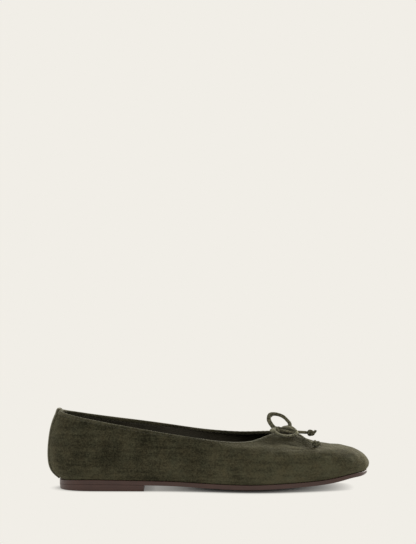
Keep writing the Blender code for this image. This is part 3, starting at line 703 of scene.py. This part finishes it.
def end_knot(name, points, nub):
    """Knot near the cord's end, with the cut end standing out past it towards nub."""
    last, before = Vector(points[-1]), Vector(points[-2])
    run = (last - before).normalized()
    middle = last + run * (FIT_GAP + END_KNOT_LENGTH / 2)
    size = np.array((END_KNOT_LENGTH, END_KNOT_THICKNESS, END_KNOT_THICKNESS)) * END_KNOT_FULL
    turns = trefoil(middle, run, size, END_KNOT_THICKNESS * END_KNOT_STRAND, name)
    # the cord's own route in millimetres, through the knot and out along the cut end
    tip = middle + run * END_KNOT_LENGTH * 0.42 + Vector(nub) / 1000
    core = np.array([last - run * 0.0006, middle - run * 0.001, middle + run * 0.0012,
                     middle + run * END_KNOT_LENGTH * 0.40 + Vector(nub) / 4000, tip]) * 1000
    shaft = curve_mesh(name + "_shaft", smooth_route((0, 0, 0), core, SHAFT_STEPS), NUB_RADIUS)
    return join(name, [turns, shaft])


def wrapped_knot(middle):
    """The bow's knot: three turns of cord side by side and one laid over them aslant."""
    axis = Vector(KNOT_AXIS).normalized()
    turn = axis.to_track_quat("Z", "X").to_matrix().to_4x4()
    pieces = []
    for along, lean, grow in KNOT_TURNS:
        deselect()
        bpy.ops.mesh.primitive_torus_add(major_segments=40, minor_segments=16,
                                         major_radius=1.0 - KNOT_STRAND, minor_radius=KNOT_STRAND)
        loop = bpy.context.object
        shape = (Matrix.Translation(middle + axis * along) @ turn @ Matrix.Rotation(lean, 4, "X")
                 @ Matrix.Diagonal((KNOT_THICKNESS / 2 * grow, KNOT_WIDTH / 2 * grow,
                                    KNOT_LENGTH / 2, 1.0)))
        loop.data.transform(shape)
        pieces.append(loop)
    knot = join("bow_knot_turns", pieces)
    only(knot)
    bpy.ops.object.shade_smooth()
    return knot


def make_bow(suede, shaded_knot_finish):
    """Two cords, each a loop and an end, tied at the throat."""
    middle = knot_middle()
    knot = dress(wrapped_knot(middle), shaded_knot_finish, "suede_cord", "bow_knot")
    for name, route, facing, word, nub, nodes in BOW_CORDS:
        points = smooth_route(middle, route, CORD_STEPS)
        cord = lace(name, points, facing)
        tail = dress(end_knot("knot_at_" + word + "_end", points, nub), shaded_knot_finish,
                     "suede_cord", "end_knot_" + word)
        dress(cord, suede, "suede_cord", *nodes)


def shaped_grid(name, points, outward=False):
    """A grid laid over rows of points; its two ends and its sides join where they meet."""
    columns, rows = points.shape[0] - 1, points.shape[1] - 1
    deselect()
    bpy.ops.mesh.primitive_grid_add(x_subdivisions=columns, y_subdivisions=rows, size=2.0,
                                    calc_uvs=True)
    piece = bpy.context.object
    piece.name = name
    piece.data.name = name
    count = len(piece.data.vertices)
    flat = np.empty(count * 3, np.float32)
    piece.data.vertices.foreach_get("co", flat)
    flat = flat.reshape(-1, 3)
    column = np.rint((flat[:, 0] + 1.0) / 2.0 * columns).astype(int)
    row = np.rint((flat[:, 1] + 1.0) / 2.0 * rows).astype(int)
    piece.data.vertices.foreach_set("co", points[column, row].astype(np.float32).ravel())
    piece.data.update()
    return finish_mesh(piece, merge=2e-6, outward=outward)


def thicken(piece, thickness):
    """Give a skin its wall, inwards."""
    only(piece)
    wall = piece.modifiers.new("wall", "SOLIDIFY")
    wall.thickness = thickness
    wall.offset = -1.0
    bpy.ops.object.modifier_apply(modifier=wall.name)


def ring(points):
    """Repeat the first column, so that a grid closes around the shoe."""
    return np.concatenate((points, points[:1]), axis=0)


def relief(points):
    """Rise of the suede over its form at each point: soft lumps and the listed creases."""
    shape = points.shape[:-1]
    flat = points.reshape(-1, 3)
    vamp = np.clip((flat[:, 0] - VAMP_START) / VAMP_REACH, 0.0, 1.0)
    rise = np.zeros(len(flat))
    for fineness, shift, height, added in LUMPS:
        lumps = [noise.noise(Vector(p) * fineness + Vector(shift)) for p in flat]
        rise += np.array(lumps) * (height + added * vamp)
    for start, end, width, depth in CREASES:
        a, b = np.array(start) / 1000, np.array(end) / 1000
        along = np.clip(((flat - a) @ (b - a)) / ((b - a) @ (b - a)), 0.0, 1.0)
        gap = np.linalg.norm(flat - (a + along[:, None] * (b - a)), axis=1)
        middle = np.sin(math.pi * (0.15 + 0.7 * along))     # shallower towards its ends
        rise += depth / 1000 * np.exp(-(gap / (width / 1000)) ** 2) * middle
    return rise.reshape(shape)


def wall_below_casing(turns, side, share, stop=0.0):
    """Points and normals of the wall, from inside the folded edge down to stop above its foot."""
    profiles = wall_profiles(turns, side)
    start = CASING_HEIGHT - CASING_TUCK
    return skin(profiles, [start + share * (total - start - stop)
                           for total in profile_lengths(profiles)])


def make_upper(suede):
    """Suede wall from inside the folded edge down to its edge turned in over the sole."""
    turns, side = around(station_turns())
    share = np.linspace(0.0, 1.0, WALL_ROWS + 1)
    face, normal = wall_below_casing(turns, side, share)
    fade = (np.clip(share / RELIEF_FADE[0], RELIEF_AT_TOP, 1.0)
            * np.clip((1.0 - share) / RELIEF_FADE[1], 0.0, 1.0))
    face = face + normal * (relief(face) * fade[None, :])[:, :, None]
    edge = [rest_on_sole(*inset_outline(turns, side, inset))
            for inset in (TURNED_EDGE, TURNED_EDGE * 0.6, *TURNED_FOLD)]
    edge[-1][:, 2] = (edge[-2][:, 2] + face[:, -1, 2]) / 2
    points = np.concatenate((np.stack(edge, axis=1), face[:, ::-1]), axis=1)
    piece = shaped_grid("suede_upper", ring(points), outward=True)
    thicken(piece, SUEDE_THICKNESS)
    return dress(piece, suede, "olive_suede", "upper")


def make_lining(leather):
    """Smooth lining inside the suede, down to the insole."""
    turns, side = around(station_turns())
    share = np.linspace(0.0, 1.0, LINING_ROWS + 1)
    face, normal = wall_below_casing(turns, side, share, LINING_STOP)
    points = face - normal * (SUEDE_THICKNESS + HAIR_GAP)
    piece = shaped_grid("lining", ring(points[:, ::-1]), outward=True)
    thicken(piece, LINING_THICKNESS)
    return dress(piece, leather, "dark_lining")


def upwards(profiles):
    """The direction in which each profile reaches its top."""
    top = walk(profiles, [[0.0, TOP_REACH]] * len(profiles))
    return (top[:, 0] - top[:, 1]) / TOP_REACH


def casing_place(turns, side, section, ripple=None):
    """Points of the folded edge for a list of (down, out) shares at every turn."""
    profiles = wall_profiles(turns, side)
    down, out = np.array(section).T
    face, normal = skin(profiles, [np.clip(down, 0.0, None) * CASING_HEIGHT] * len(turns))
    above = np.clip(-down, 0.0, None) * CASING_HEIGHT
    face = face + upwards(profiles)[:, None, :] * above[None, :, None]
    middle = face - normal * UPPER_WALL / 2
    reach = np.broadcast_to(out * (UPPER_WALL / 2 + CASING_SHOWN), face.shape[:2]).copy()
    if ripple is not None:
        reach *= 1.0 + ripple[:, None] * (np.abs(out) > 0.5)
    return middle + normal * reach[:, :, None], normal


def puckers(turns, distance):
    """Soft gathers of the folded edge, strongest at the throat where the cord draws it in."""
    pull = np.clip((turns - PUCKER_START) / (1.0 - PUCKER_START), 0.0, 1.0) ** 2
    drift = PUCKER_DRIFT[0] * np.sin(distance / PUCKER_DRIFT[1])
    wave = np.sin(distance / PUCKER_SPACING * 2 * math.pi + drift)
    return (PUCKER_RISE[0] + PUCKER_RISE[1] * pull) * wave


def make_casing(suede):
    """Folded edge around the opening, drawn into soft gathers."""
    turns, side = around(station_turns())
    gathers = puckers(turns, run_along(wall_profiles(turns, side)[:, -1]))
    points = casing_place(turns, side, CASING_SECTION, gathers)[0]
    closed = np.concatenate((points, points[:, :1]), axis=1)
    piece = shaped_grid("topline_binding", ring(closed))
    only(piece)
    smooth = piece.modifiers.new("smooth", "SUBSURF")
    smooth.levels = smooth.render_levels = 1
    bpy.ops.object.modifier_apply(modifier=smooth.name)
    return dress(piece, suede, "suede_edge", "topline_casing")


def stitch_shape():
    """One stitch of thread along X, about one unit long, its ends dipping into the suede."""
    deselect()
    bpy.ops.mesh.primitive_uv_sphere_add(segments=8, ring_count=6, radius=0.5)
    stitch = bpy.context.object
    stitch.data.transform(Matrix.Rotation(math.pi / 2, 4, "Y"))
    count = len(stitch.data.vertices)
    places = np.empty(count * 3, np.float32)
    stitch.data.vertices.foreach_get("co", places)
    faces = [tuple(face.vertices) for face in stitch.data.polygons]
    bpy.data.objects.remove(stitch)
    return places.reshape(-1, 3), faces


def stitch_row(name, line, outward, thread):
    """Thread stitches along a line of points; outward gives the side that they show on."""
    places, faces = stitch_shape()
    run = run_along(line)
    count = int(run[-1] // STITCH_SPACING)
    starts = (np.arange(count) + 0.5) * run[-1] / count
    verts = []
    joined = []
    for k, start in enumerate(starts):
        middle = point_at(start, run, line)
        x = (point_at(start + STITCH_LENGTH / 2, run, line)
             - point_at(start - STITCH_LENGTH / 2, run, line))
        x /= np.linalg.norm(x)
        y = np.cross(point_at(start, run, outward), x)
        y /= np.linalg.norm(y)
        z = np.cross(x, y)
        dip = places[:, :1] ** 2 * STITCH_DIP * THREAD
        shape = places * np.array((STITCH_LENGTH, THREAD, THREAD))
        joined += [tuple(v + k * len(places) for v in face) for face in faces]
        verts.append(middle + shape[:, :1] * x + shape[:, 1:2] * y + (shape[:, 2:] - dip) * z)
    mesh = bpy.data.meshes.new(name)
    mesh.from_pydata(np.concatenate(verts).tolist(), [], joined)
    piece = bpy.data.objects.new(name, mesh)
    bpy.context.scene.collection.objects.link(piece)
    return dress(finish_mesh(piece), thread, "suede_edge")


def make_stitches(thread):
    """A row of stitches along each side of the folded edge."""
    turns, side = around(station_turns())
    down, out = STITCH_LINE
    for name, sense in (("stitches_outside", 1.0), ("stitches_inside", -1.0)):
        points, normal = casing_place(turns, side, ((down, out * sense),))
        stitch_row(name, ring(points[:, 0]), ring(normal[:, 0]) * sense, thread)


def strip_profiles(wing, width):
    """Profiles of the wall under the strip, whose half width there is given at STRIP_TURN."""
    turns = np.abs(wing) * STRIP_TURN * STRIP_WIDTH / 2 / width
    return wall_profiles(turns, np.where(wing < 0, -1.0, 1.0))


def strip_rise(wing):
    """How high the strip stands across its width, rounded along its edges."""
    edge = np.clip((1.0 - np.abs(wing)) / STRIP_ROUNDING, 0.0, 1.0)
    return STRIP_THICKNESS * (1.0 - (1.0 - edge) ** STRIP_EDGE_POWER)


def strip_tab(wing, width):
    """Rows of the strip's top end: over the folded edge and a little way down inside it."""
    profiles = strip_profiles(wing, width)

    def at(down, out):
        face, normal = skin(profiles, [[down]] * len(wing), False)
        return face[:, 0] + normal[:, 0] * np.reshape(out, (-1, 1)), normal[:, 0]

    raised = strip_rise(wing) + HAIR_GAP
    rows = [at(down, raised + CASING_SHOWN * settle)[0]
            for down, settle in TAB_OUTSIDE]
    reach = UPPER_WALL / 2 + CASING_SHOWN + raised
    middle, normal = at(UPPER_WALL / 2 + CASING_SHOWN, -UPPER_WALL / 2)
    for angle in np.linspace(0.0, math.pi, TAB_STEPS + 1):
        rows.append(middle + normal * (reach * math.cos(angle))[:, None]
                    + upwards(profiles) * (reach * math.sin(angle))[:, None])
    return rows + [at(down, -UPPER_WALL / 2 - reach)[0] for down in TAB_INSIDE]


def make_back_strip(suede):
    """Strip over the heel seam, up to its tab over the folded edge."""
    wing = np.sin(np.linspace(1.0, -1.0, STRIP_COLUMNS + 1) * math.pi / 2)
    share = np.linspace(0.0, 1.0, STRIP_ROWS + 1)
    start = CASING_HEIGHT + FIT_GAP
    end = STRIP_THICKNESS + 3 * FIT_GAP
    sample = wall_profiles(np.array((STRIP_TURN,)), np.array((1.0,)))
    total = profile_lengths(sample)[0] - end
    widths = walk(sample, [start + share * (total - start)])[0][:, 1] + MIDDLE_SWING
    rise = FIT_GAP * 0.3 + strip_rise(wing)
    sheet = []
    for step, width in zip(share, widths):
        profiles = strip_profiles(wing, width)
        face, normal = skin(profiles, [[start + step * (total - end - start)]
                                       for total in profile_lengths(profiles)], False)
        sheet.append(face[:, 0] + normal[:, 0] * rise[:, None])
    points = np.stack(sheet[::-1] + strip_tab(wing, widths[0]), axis=1)
    piece = shaped_grid("heel_strip", points, outward=True)
    thicken(piece, STRIP_THICKNESS * 0.8)
    return dress(piece, suede, "olive_suede", "back_strip")


def plate_points(turns, edge, bottom, top, steps):
    """Sections of a flat piece, one per turn; edge gives (inset, height share) down its side."""
    flanks = []
    for side in (-1.0, 1.0):
        flank = []
        for inset, share in edge:
            x, y = inset_outline(turns, np.full(len(turns), side), inset)
            place = across_sole(x, y)
            low = bottom(x, place)
            flank.append(np.stack((x, y, low + (top(x, place) - low) * share), axis=1))
        flanks.append(flank)
    outer, inner = flanks
    rows = outer[::-1]
    for start, end, surface in ((outer[0], inner[0], top), (inner[-1], outer[-1], bottom)):
        if surface is bottom:
            rows += inner
        for share in np.linspace(0.0, 1.0, steps + 1)[1:-1]:
            x, y = (start + (end - start) * share)[:, :2].T
            rows.append(np.stack((x, y, surface(x, across_sole(x, y))), axis=1))
    rows.append(rows[0])
    return np.stack(rows, axis=1)


def make_outsole(leather):
    """Thin leather sole with a softly rounded, painted edge and a shallow groove beneath."""
    edge = (
        (0.0016, 1.0), (-SOLE_EDGE * 0.55, 1.0), (-SOLE_EDGE * 0.9, 0.95), (-SOLE_EDGE, 0.86),
        (-SOLE_EDGE * 1.04, 0.55), (-SOLE_EDGE * 1.02, 0.14), (-SOLE_EDGE * 0.97, 0.04),
        (-SOLE_EDGE * 0.84, 0.0), (0.0008, 0.0), (0.0034, 0.0), (0.0038, 0.09), (0.0042, 0.09),
        (0.0046, 0.0),
    )
    points = plate_points(station_turns(), edge, sole_bottom, sole_top, SOLE_STEPS)
    piece = shaped_grid("leather_outsole", points)
    return dress(piece, leather, "brown_sole_leather", "outsole")


def make_heel(leather):
    """Low heel block, cut straight at its breast."""
    fine = np.linspace(0.0, 1.0, 2000)
    fine_x = line_in_plan(FEATHER_LINE, SOLE_WIDTH, fine, 1.0)[0]
    breast = np.interp(fine_x[0] + HEEL_LENGTH, fine_x, fine)
    turns = station_turns()
    used = np.append(turns[turns < breast - HEEL_MARGIN], breast)

    def bottom(x, _):
        return 0.0 * x

    def top(x, place):
        return sole_bottom(x, place) - FIT_GAP * 0.3

    edge = (
        (0.0010, 1.0), (-SOLE_EDGE, 1.0), (-SOLE_EDGE * 1.02, 0.97), (-SOLE_EDGE + 0.0001, 0.60),
        (-SOLE_EDGE + 0.0003, 0.16), (-SOLE_EDGE + 0.00045, 0.05), (-SOLE_EDGE + 0.0008, 0.0),
        (0.0020, 0.0),
    )
    piece = shaped_grid("stacked_heel", plate_points(used, edge, bottom, top, HEEL_STEPS))
    only(piece)
    bpy.ops.object.mode_set(mode="EDIT")
    bpy.ops.mesh.select_all(action="DESELECT")
    bpy.ops.mesh.select_non_manifold(extend=False)
    bpy.ops.mesh.edge_face_add()
    bpy.ops.object.mode_set(mode="OBJECT")
    finish_mesh(piece)
    bpy.ops.object.shade_smooth_by_angle(angle=math.radians(40))
    return dress(piece, leather, "brown_sole_leather", "heel_block")


def make_insole(leather):
    """Sock lining over the board inside, with a softly rolled edge."""
    rest = 2 * FIT_GAP + UPPER_WALL
    inset = UPPER_WALL + 2 * FIT_GAP

    def bottom(x, place):
        return sole_top(x, place) + rest

    def top(x, place):
        return bottom(x, place) + INSOLE_THICKNESS * (1.0 - INSOLE_ROLL * np.abs(place) ** 8)

    edge = ((inset + 0.0009, 1.0), (inset + 0.0003, 0.92), (inset, 0.6), (inset, 0.2),
            (inset + 0.0006, 0.0))
    points = plate_points(station_turns(), edge, bottom, top, SOLE_STEPS)
    piece = shaped_grid("sock_lining", points)
    return dress(piece, leather, "dark_lining", "insole")


def dress(piece, shade, slot, *nodes):
    """Finish a piece: its material, its body and the CAD nodes it stands for; slot is not used.
    """
    piece.data.materials.clear()
    piece.data.materials.append(shade)
    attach(piece, "root")
    if nodes:
        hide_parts(*nodes)
    return piece


def group(name, inputs, outputs):
    """An empty shader group with float (f) or colour (c) sockets."""
    kinds = {"f": "NodeSocketFloat", "c": "NodeSocketColor"}
    tree = bpy.data.node_groups.new(name, "ShaderNodeTree")
    for socket, kind, value in inputs:
        made = tree.interface.new_socket(socket, in_out="INPUT", socket_type=kinds[kind])
        made.default_value = value
    for socket, kind in outputs:
        tree.interface.new_socket(socket, in_out="OUTPUT", socket_type=kinds[kind])
    return tree, tree.nodes.new("NodeGroupInput"), tree.nodes.new("NodeGroupOutput")


def feed(tree, socket, value):
    """Link a socket to the one given, or set its value; None leaves it as it is."""
    if isinstance(value, bpy.types.NodeSocket):
        tree.links.new(value, socket)
    elif value is not None:
        socket.default_value = value


def math_node(tree, operation, first, second=None, clamp=False, kind="ShaderNodeMath"):
    """A Math or Vector Math node, each side a socket or a value; DISTANCE gives a number."""
    node = tree.nodes.new(kind)
    node.operation = operation
    if clamp:
        node.use_clamp = True
    feed(tree, node.inputs[0], first)
    feed(tree, node.inputs[1], second)
    return node.outputs[1 if operation == "DISTANCE" else 0]


def noise_node(tree, vector, scale, detail, rough):
    """Noise between 0 and 1; scale is one number, or one for each axis."""
    if isinstance(scale, tuple):
        mapping = tree.nodes.new("ShaderNodeMapping")
        mapping.inputs["Scale"].default_value = scale
        tree.links.new(vector, mapping.inputs["Vector"])
        vector, scale = mapping.outputs[0], 1.0
    node = tree.nodes.new("ShaderNodeTexNoise")
    for socket, value in (("Vector", vector), ("Scale", scale), ("Detail", detail),
                          ("Roughness", rough)):
        feed(tree, node.inputs[socket], value)
    return node.outputs["Fac"]


def layered(tree, place, layers):
    """Sum of noise layers, each spread about 0 by its strength."""
    total = None
    for scale, detail, rough, strength in layers:
        swing = math_node(tree, "SUBTRACT", noise_node(tree, place, scale, detail, rough), 0.5)
        layer = math_node(tree, "MULTIPLY", swing, strength)
        total = layer if total is None else math_node(tree, "ADD", total, layer)
    return total


def blend(tree, share, first, second):
    """Colour between first and second by share; each is a socket or a value."""
    node = tree.nodes.new("ShaderNodeMix")
    node.data_type = "RGBA"
    for name, kind, value in (("Factor", "VALUE", share), ("A", "RGBA", first),
                              ("B", "RGBA", second)):
        # a Mix node has one socket of each kind under each name
        feed(tree, next(s for s in node.inputs if s.name == name and s.type == kind), value)
    return next(s for s in node.outputs if s.type == "RGBA")


def suede_nap():
    """Group: mottled nap. Patches are brushed one way or the other, grain is the fibre.

    Dusty paints it paler towards the sole, painted light of the floor's bounce; Rubbed paints
    shade and light at set places; Middle is its mean.
    """
    tree, start, end = group(
        "suede_nap",
        (("Dark", "c", (0.02, 0.019, 0.010, 1.0)), ("Light", "c", (0.08, 0.076, 0.048, 1.0)),
         ("Patches", "f", 1.0), ("Grain", "f", 1.0), ("Dusty", "f", 0.0),
         ("Rubbed", "f", 0.0), ("Middle", "f", 0.5)),
        (("Color", "c"), ("Height", "f")))
    place = tree.nodes.new("ShaderNodeTexCoord").outputs["Object"]
    parts = tree.nodes.new("ShaderNodeSeparateXYZ")
    tree.links.new(place, parts.inputs[0])
    # paler towards the sole: painted light of the floor's bounce
    depth = math_node(tree, "SUBTRACT", BOUNCE_LIGHT_HEIGHT, parts.outputs["Z"])
    depth = math_node(tree, "MULTIPLY", depth, 1.0 / BOUNCE_LIGHT_HEIGHT, clamp=True)
    painted_bounce = math_node(tree, "MULTIPLY", depth, start.outputs["Dusty"])
    wide = math_node(tree, "MULTIPLY", layered(tree, place, NAP_WIDE), start.outputs["Patches"])
    fine = math_node(tree, "MULTIPLY", layered(tree, place, NAP_FINE), start.outputs["Grain"])
    mean_and_painted_light = math_node(tree, "ADD", painted_bounce, start.outputs["Middle"])
    # painted shade and painted light at set places of the nap
    for middle, reach, change in PAINTED_LIGHT_PLACES:
        gap = math_node(tree, "DISTANCE", place, middle, kind="ShaderNodeVectorMath")
        near = math_node(tree, "SUBTRACT", 1.0, math_node(tree, "DIVIDE", gap, reach), clamp=True)
        shade = math_node(tree, "MULTIPLY", near, start.outputs["Rubbed"])
        mean_and_painted_light = math_node(tree, "ADD", mean_and_painted_light, math_node(tree, "MULTIPLY", shade, change))
    both = math_node(tree, "ADD", math_node(tree, "ADD", wide, fine), mean_and_painted_light, clamp=True)
    warmth = math_node(tree, "ADD", layered(tree, place, NAP_WARMTH), 0.5, clamp=True)
    tinted = math_node(tree, "MULTIPLY",
                       blend(tree, both, start.outputs["Dark"], start.outputs["Light"]),
                       blend(tree, warmth, COOL_TINT, WARM_TINT), kind="ShaderNodeVectorMath")
    tree.links.new(tinted, end.inputs["Color"])
    height = math_node(tree, "ADD", math_node(tree, "MULTIPLY", fine, 0.6), wide)
    tree.links.new(height, end.inputs["Height"])
    return tree


def leather_grain():
    """Group: polished leather with fine pores and lengthwise streaks."""
    tree, start, end = group(
        "leather_grain",
        (("Dark", "c", (0.02, 0.01, 0.008, 1.0)), ("Light", "c", (0.06, 0.035, 0.025, 1.0)),
         ("Streaks", "f", 1.0), ("Pores", "f", 1.0), ("Gloss", "f", 0.4)),
        (("Color", "c"), ("Height", "f"), ("Roughness", "f")))
    place = tree.nodes.new("ShaderNodeTexCoord").outputs["Object"]
    pores = tree.nodes.new("ShaderNodeTexVoronoi")
    pores.inputs["Scale"].default_value = PORES
    tree.links.new(place, pores.inputs["Vector"])
    lines = layered(tree, place, ((*LEATHER_STREAKS, start.outputs["Streaks"]),))
    soft = layered(tree, place, LEATHER_CLOUDS)
    both = math_node(tree, "ADD", math_node(tree, "ADD", lines, soft), 0.5, clamp=True)
    tree.links.new(blend(tree, both, start.outputs["Dark"], start.outputs["Light"]),
                   end.inputs["Color"])
    dents = math_node(tree, "MULTIPLY", pores.outputs["Distance"], start.outputs["Pores"])
    tree.links.new(math_node(tree, "ADD", dents, math_node(tree, "MULTIPLY", lines, 0.5)),
                   end.inputs["Height"])
    tree.links.new(math_node(tree, "ADD", start.outputs["Gloss"],
                             math_node(tree, "MULTIPLY", soft, 0.12)), end.inputs["Roughness"])
    return tree


def finish_material(name, tree, values, bump, distance, **sockets):
    """A material whose colour and relief come from one of the groups."""
    shade = bpy.data.materials.new(name)
    shade.use_nodes = True
    nodes, links = shade.node_tree.nodes, shade.node_tree.links
    shader = nodes["Principled BSDF"]
    effect = nodes.new("ShaderNodeGroup")
    effect.node_tree = tree
    for socket, value in values.items():
        effect.inputs[socket].default_value = value
    links.new(effect.outputs["Color"], shader.inputs["Base Color"])
    if "Roughness" in effect.outputs:
        links.new(effect.outputs["Roughness"], shader.inputs["Roughness"])
    raised = nodes.new("ShaderNodeBump")
    raised.inputs["Strength"].default_value = bump
    raised.inputs["Distance"].default_value = distance
    links.new(effect.outputs["Height"], raised.inputs["Height"])
    links.new(raised.outputs["Normal"], shader.inputs["Normal"])
    for socket, value in sockets.items():
        shader.inputs[socket.replace("_", " ")].default_value = value
    return shade


def suede_finish(name, dark, light, bump, distance, sheen, softness=0.5,
                 tint=(0.8, 0.77, 0.6, 1.0), **looks):
    """One finish of the suede; looks are the nap's other inputs."""
    return finish_material(
        name, nap, {"Dark": (*dark, 1), "Light": (*light, 1), **looks}, bump, distance,
        Roughness=0.95, Sheen_Weight=sheen, Sheen_Roughness=softness, Sheen_Tint=tint,
        Specular_IOR_Level=0.1)


def make_stage():
    """Pale glowing floor that meets the pale room without a line, with a painted contact shadow,
    and the lamps, which light the shoe.
    """
    deselect()
    bpy.ops.mesh.primitive_circle_add(vertices=96, radius=FLOOR_RADIUS, fill_type="NGON")
    floor = bpy.context.object
    floor.name = "studio_floor"
    paper = bpy.data.materials.new("studio_paper")
    paper.use_nodes = True
    shader = paper.node_tree.nodes["Principled BSDF"]
    shader.inputs["Base Color"].default_value = (0.0, 0.0, 0.0, 1.0)
    shader.inputs["Roughness"].default_value = 1.0
    shader.inputs["Specular IOR Level"].default_value = 0.0
    shader.inputs["Emission Color"].default_value = (*ROOM, 1.0)
    # the floor's glow is dimmed close to the shoe: a painted contact shadow, not one that the
    # lamps cast
    painted_contact_shadow = paper.node_tree.nodes.new("ShaderNodeAmbientOcclusion")
    painted_contact_shadow.inputs["Distance"].default_value = SHADOW_REACH
    glow = math_node(paper.node_tree, "POWER", painted_contact_shadow.outputs["AO"], SHADOW_SOFTNESS)
    paper.node_tree.links.new(glow, shader.inputs["Emission Strength"])
    floor.data.materials.append(paper)
    world = bpy.data.worlds.new("studio")
    bpy.context.scene.world = world
    world.use_nodes = True
    world.node_tree.nodes["Background"].inputs["Color"].default_value = (*ROOM, 1.0)
    off_floor = bpy.data.collections.new("lit_by_the_room_alone")
    off_floor.objects.link(floor)
    off_floor.collection_objects[0].light_linking.link_state = "EXCLUDE"
    for name, place, size, power, aim in SOFT_BOXES:
        data = bpy.data.lights.new(name, "AREA")
        data.shape = "RECTANGLE"
        data.size, data.size_y = size
        data.energy = power
        data.color = LAMP
        lamp = bpy.data.objects.new(name, data)
        bpy.context.scene.collection.objects.link(lamp)
        lamp.location = place
        lamp.rotation_euler = (Vector(aim) - Vector(place)).to_track_quat("-Z", "Y").to_euler()
        lamp.light_linking.receiver_collection = off_floor
        lamp.visible_camera = False


scene = bpy.context.scene
scene.view_settings.view_transform = "Standard"
photo_camera()
nap = suede_nap()
grain = leather_grain()
# paler than the upper's suede: partly painted light, for the light that the thin cords catch
cord_nap_painted_light = suede_finish("cord_nap_painted_light", (0.022, 0.020, 0.012), (0.185, 0.178, 0.118),
                          0.8, 0.0004, 0.35, Patches=0.5, Grain=2.2)
# darker copy of the cord's suede: painted shade inside the knots' tight turns
shaded_knot_finish = suede_finish("knot_nap_painted_shade", (0.012, 0.011, 0.006), (0.115, 0.110, 0.070),
                          0.9, 0.0004, 0.25, Patches=0.8, Grain=1.6)
make_bow(cord_nap_painted_light, shaded_knot_finish)
# Dusty and Rubbed paint light and shade into this suede: paler towards the sole, darker by the
# throat and under the bow, paler on the toe and the near side
olive_suede = suede_finish("olive_suede", (0.0125, 0.0115, 0.0058), (0.069, 0.0645, 0.038),
                           1.0, 0.0005, 0.12, tint=(0.75, 0.68, 0.42, 1.0),
                           Patches=0.76, Grain=1.05, Dusty=0.16, Rubbed=0.75, Middle=0.38)
# paler copy of the upper's suede for the folded edge and the back strip: partly painted light,
# for the light along their rims
edge_nap_painted_light = suede_finish("folded_nap_painted_light", (0.0145, 0.0135, 0.0070), (0.068, 0.0635, 0.039),
                          0.6, 0.0003, 0.35, softness=0.45, Patches=1.0, Grain=1.2)
sole_leather = finish_material(
    "painted_sole_leather", grain,
    {"Dark": (0.033, 0.0125, 0.0085, 1), "Light": (0.058, 0.0245, 0.0175, 1), "Streaks": 1.3,
     "Pores": 0.25, "Gloss": 0.42}, 0.3, 0.0002, Specular_IOR_Level=0.40, Coat_Weight=0.10,
    Coat_Roughness=0.35)
lining_leather = finish_material(
    "dark_lining_leather", grain,
    {"Dark": (0.020, 0.0175, 0.011, 1), "Light": (0.048, 0.042, 0.028, 1), "Streaks": 0.3,
     "Pores": 0.6, "Gloss": 0.6}, 0.4, 0.0002, Specular_IOR_Level=0.3)
thread = finish_material(
    "olive_thread", nap, {"Dark": (0.030, 0.028, 0.016, 1), "Light": (0.060, 0.056, 0.034, 1),
                          "Patches": 0.2, "Grain": 0.6}, 0.3, 0.0001, Roughness=0.7)
make_upper(olive_suede)
make_casing(edge_nap_painted_light)
make_stitches(thread)
make_back_strip(edge_nap_painted_light)
make_lining(lining_leather)
make_outsole(sole_leather)
make_heel(sole_leather)
make_insole(lining_leather)
make_stage()
